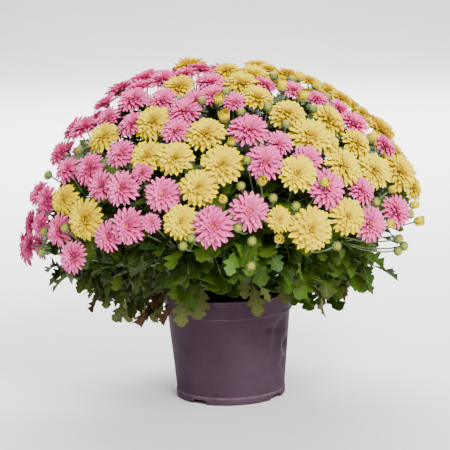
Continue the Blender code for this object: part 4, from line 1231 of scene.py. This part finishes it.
def petal(foot, out, axis, side, length, half, rises, cup, shape):
    """One petal: rows of left edge, hollow top, right edge and underside, and a tip."""
    rise = np.radians(rises[0] + (rises[1] - rises[0]) * PETAL_SPAN)
    middle = 0.5 * (rise[1:] + rise[:-1])
    steps = np.diff(PETAL_SPAN) * length
    run = np.concatenate(([0.0], np.cumsum(np.cos(middle) * steps)))
    climb = np.concatenate(([0.0], np.cumsum(np.sin(middle) * steps)))
    spine = foot + out * run[:, None] + axis * climb[:, None]
    normal = axis * np.cos(rise)[:, None] - out * np.sin(rise)[:, None]
    wide = (half * shape)[:, None]
    left = spine + side * wide + normal * cup * wide
    right = spine - side * wide + normal * cup * wide
    under = spine - normal * (PETAL_THICKNESS + 0.10 * wide)
    rows = np.stack((left, spine, right, under), axis=1)[:-1].reshape(-1, 3)
    return np.vstack((rows, spine[-1:]))


def grow_petals(head, rows, shape, growth, draw):
    """All the rows of petals of one head."""
    axis = np.array(head.axis)
    across = np.array(head.axis.orthogonal().normalized())
    over = np.cross(axis, across)
    size = head.radius
    bloom_chance = draw.random()
    bloom_open = draw.uniform(-5, 6)
    for count, foot_radius, foot_height, length, half, first_rise, last_rise in rows:
        shift = draw.random()
        for number in range(count):
            angle = head.turn + math.tau * (number + shift + draw.uniform(-0.22, 0.22)) / count
            out = across * math.cos(angle) + over * math.sin(angle)
            twist = draw.uniform(-0.25, 0.25)
            side = np.cross(axis, out) * math.cos(twist) + axis * math.sin(twist)
            foot = np.array(head.place) + (out * foot_radius + axis * foot_height) * size
            tilt = bloom_open + draw.uniform(-6, 6)
            rises = (first_rise + tilt, last_rise + tilt + draw.uniform(-8, 8))
            span = length * size * draw.uniform(0.90, 1.06)
            cup = draw.uniform(0.30, 0.75)
            wide = half * size * draw.uniform(0.88, 1.1)
            points = petal(foot, out, axis, side, span, wide, rises, cup, shape)
            chance = 0.65 * bloom_chance + 0.35 * draw.random()
            # edge: one on a petal's edges, none in its hollow, 0.3 beneath; it places a painted highlight
            # on the edges
            blade = [(share, edge, chance) for share in PETAL_SPAN[:-1] for edge in (1.0, 0.0, 1.0, 0.3)]
            growth.add(points.tolist(), PETAL_FACES, blade + [(1.0, 0.5, chance)])


def bloom_eye(head, size, growth, draw):
    """The gold middle: tiny upright florets set close together."""
    for number in range(EYE_FLORETS):
        out = head.outwards(number * GOLDEN_ANGLE)
        reach = size * math.sqrt((number + 0.5) / EYE_FLORETS)
        foot = head.place + head.axis * 0.08 * head.radius + out * reach
        tip = foot + (head.axis * draw.uniform(0.10, 0.17) - out * 0.03) * head.radius
        wide = 0.30 * size
        floret = tube([foot, foot.lerp(tip, 0.7), tip], [0.8 * wide, wide, 0.4 * wide], 4)
        growth.add(*floret, (draw.random(), 0.0, 0.5), 1)


def petal_finish(name, foot, middle, tip, deep, streak):
    """Petal skin: deeper at the foot, partly its own colour and partly painted shade among the petals,
    paler at the tip, with fine streaks along it.
    """
    finish = Finish(name, 0.55, Specular_IOR_Level=0.15, Sheen_Weight=0.03, Sheen_Roughness=0.5)
    blade = finish.blade()
    along, edge, chance = finish.split(blade)
    skin = finish.ramp(along, (0.0, foot), (0.45, middle), (1.0, tip))
    stretch = finish.add("ShaderNodeVectorMath", operation="MULTIPLY")
    stretch.inputs[1].default_value = (1.5, 9.0, 31.0)
    finish.feed((blade, stretch.inputs[0]))
    streaks = finish.noise(stretch.outputs[0], 1.0, 3.0)
    skin = finish.mix(finish.value(streaks, 0.0, streak, 0.45, 0.75), skin, deep)
    skin = finish.mix(finish.value(chance, 0.0, 0.45), skin, deep)
    # Painted highlight on the petal edges and painted shade in their hollow middles
    finish.colour(finish.mix(finish.times(edge, 0.25), skin, tip))
    finish.gloss(finish.value(streaks, 0.45, 0.65))
    finish.bump(streaks, 0.35, 0.0004)
    return finish.material


def eye_gold():
    finish = Finish("eye_gold", 0.6)
    chance = finish.split(finish.blade())[0]
    finish.colour(finish.ramp(chance, (0.1, (0.55, 0.28, 0.02)), (0.9, (0.85, 0.60, 0.10))))
    finish.bump(finish.noise(finish.place(), 1500.0, 2.0), 0.3, 0.0002)
    return finish.material


# The deep foot colours are partly the flowers' own and partly painted shade among the crowded petals
petal_skins = {
    "pink": petal_finish("pink_petals", (0.26, 0.004, 0.055), (0.82, 0.040, 0.270),
                         (1.0, 0.260, 0.560), (0.54, 0.010, 0.160), 0.65),
    "yellow": petal_finish("yellow_petals", (0.60, 0.280, 0.0), (0.85, 0.640, 0.0),
                           (0.92, 0.790, 0.0), (0.74, 0.450, 0.0), 0.45)}
gold = eye_gold()
petal_draw = random.Random(41)
for spray in sprays:
    growth = Growth()
    for head in spray.heads:
        if head.kind == "bloom":
            grow_petals(head, PETAL_ROWS[spray.colour], PETAL_SHAPE[spray.colour], growth, petal_draw)
            if spray.colour == "pink":
                bloom_eye(head, petal_draw.uniform(0.085, 0.14) * head.radius, growth, petal_draw)
        elif head.kind == "cup":
            grow_petals(head, PETAL_ROWS["cup"], PETAL_SHAPE["yellow"], growth, petal_draw)
    petals = growth.piece(spray.name + "_petals", 60, petal_skins[spray.colour], gold)
    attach(petals, "root")
    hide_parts(spray.name)


# Floor and light
# A pale seamless paper sweep. A soft key stands in front at the upper right, a
# weak fill at the left, and the broadest light falls on the paper behind.
FLOOR_HALF = 6.0
WALL_START = 5.0
SWEEP_CURVE = 3.0
SWEEP_TOP = 9.0
WORLD_LIGHT = 0.17


def sweep_surface():
    """A floor that curves up into a wall behind the plant."""
    profile = [(-FLOOR_HALF, 0.0)]
    for angle in np.linspace(0.0, math.pi / 2, 16):
        back, height = SWEEP_CURVE * math.sin(angle), SWEEP_CURVE - SWEEP_CURVE * math.cos(angle)
        profile.append((WALL_START + back, height))
    profile.append((WALL_START + SWEEP_CURVE, SWEEP_TOP))
    points = [(x, y, z) for y, z in profile for x in (-FLOOR_HALF, FLOOR_HALF)]
    faces = [(2 * row, 2 * row + 1, 2 * row + 3, 2 * row + 2) for row in range(len(profile) - 1)]
    return points, faces


paper = Finish("sweep_paper", 0.9, Specular_IOR_Level=0.1)
tone = paper.noise(paper.place(), 3.0)
paper.colour(paper.ramp(tone, (0.4, (0.93, 0.93, 0.93)), (0.6, (0.95, 0.95, 0.95))))
sweep = new_piece("sweep", *sweep_surface(), paper.material)
sweep.data.shade_smooth()

world = bpy.data.worlds.new("studio")
world.use_nodes = True
backdrop = world.node_tree.nodes["Background"]
backdrop.inputs["Color"].default_value = (1.0, 1.0, 1.0, 1.0)
backdrop.inputs["Strength"].default_value = WORLD_LIGHT
bpy.context.scene.world = world


def soft_light(name, place, size, power, aim=(0.0, 0.0, 0.2)):
    light = bpy.data.lights.new(name, "AREA")
    light.size = size
    light.energy = power
    lamp = bpy.data.objects.new(name, light)
    lamp.location = place
    lamp.rotation_euler = (Vector(aim) - Vector(place)).to_track_quat("-Z", "Y").to_euler()
    bpy.context.scene.collection.objects.link(lamp)


soft_light("key", (0.7, -1.9, 1.7), 0.9, 114.0)
soft_light("fill", (-1.4, -1.9, 1.3), 1.4, 8.0)
soft_light("back", (0.0, 2.8, 2.4), 3.0, 500.0, (0.0, 2.9, 0.0))
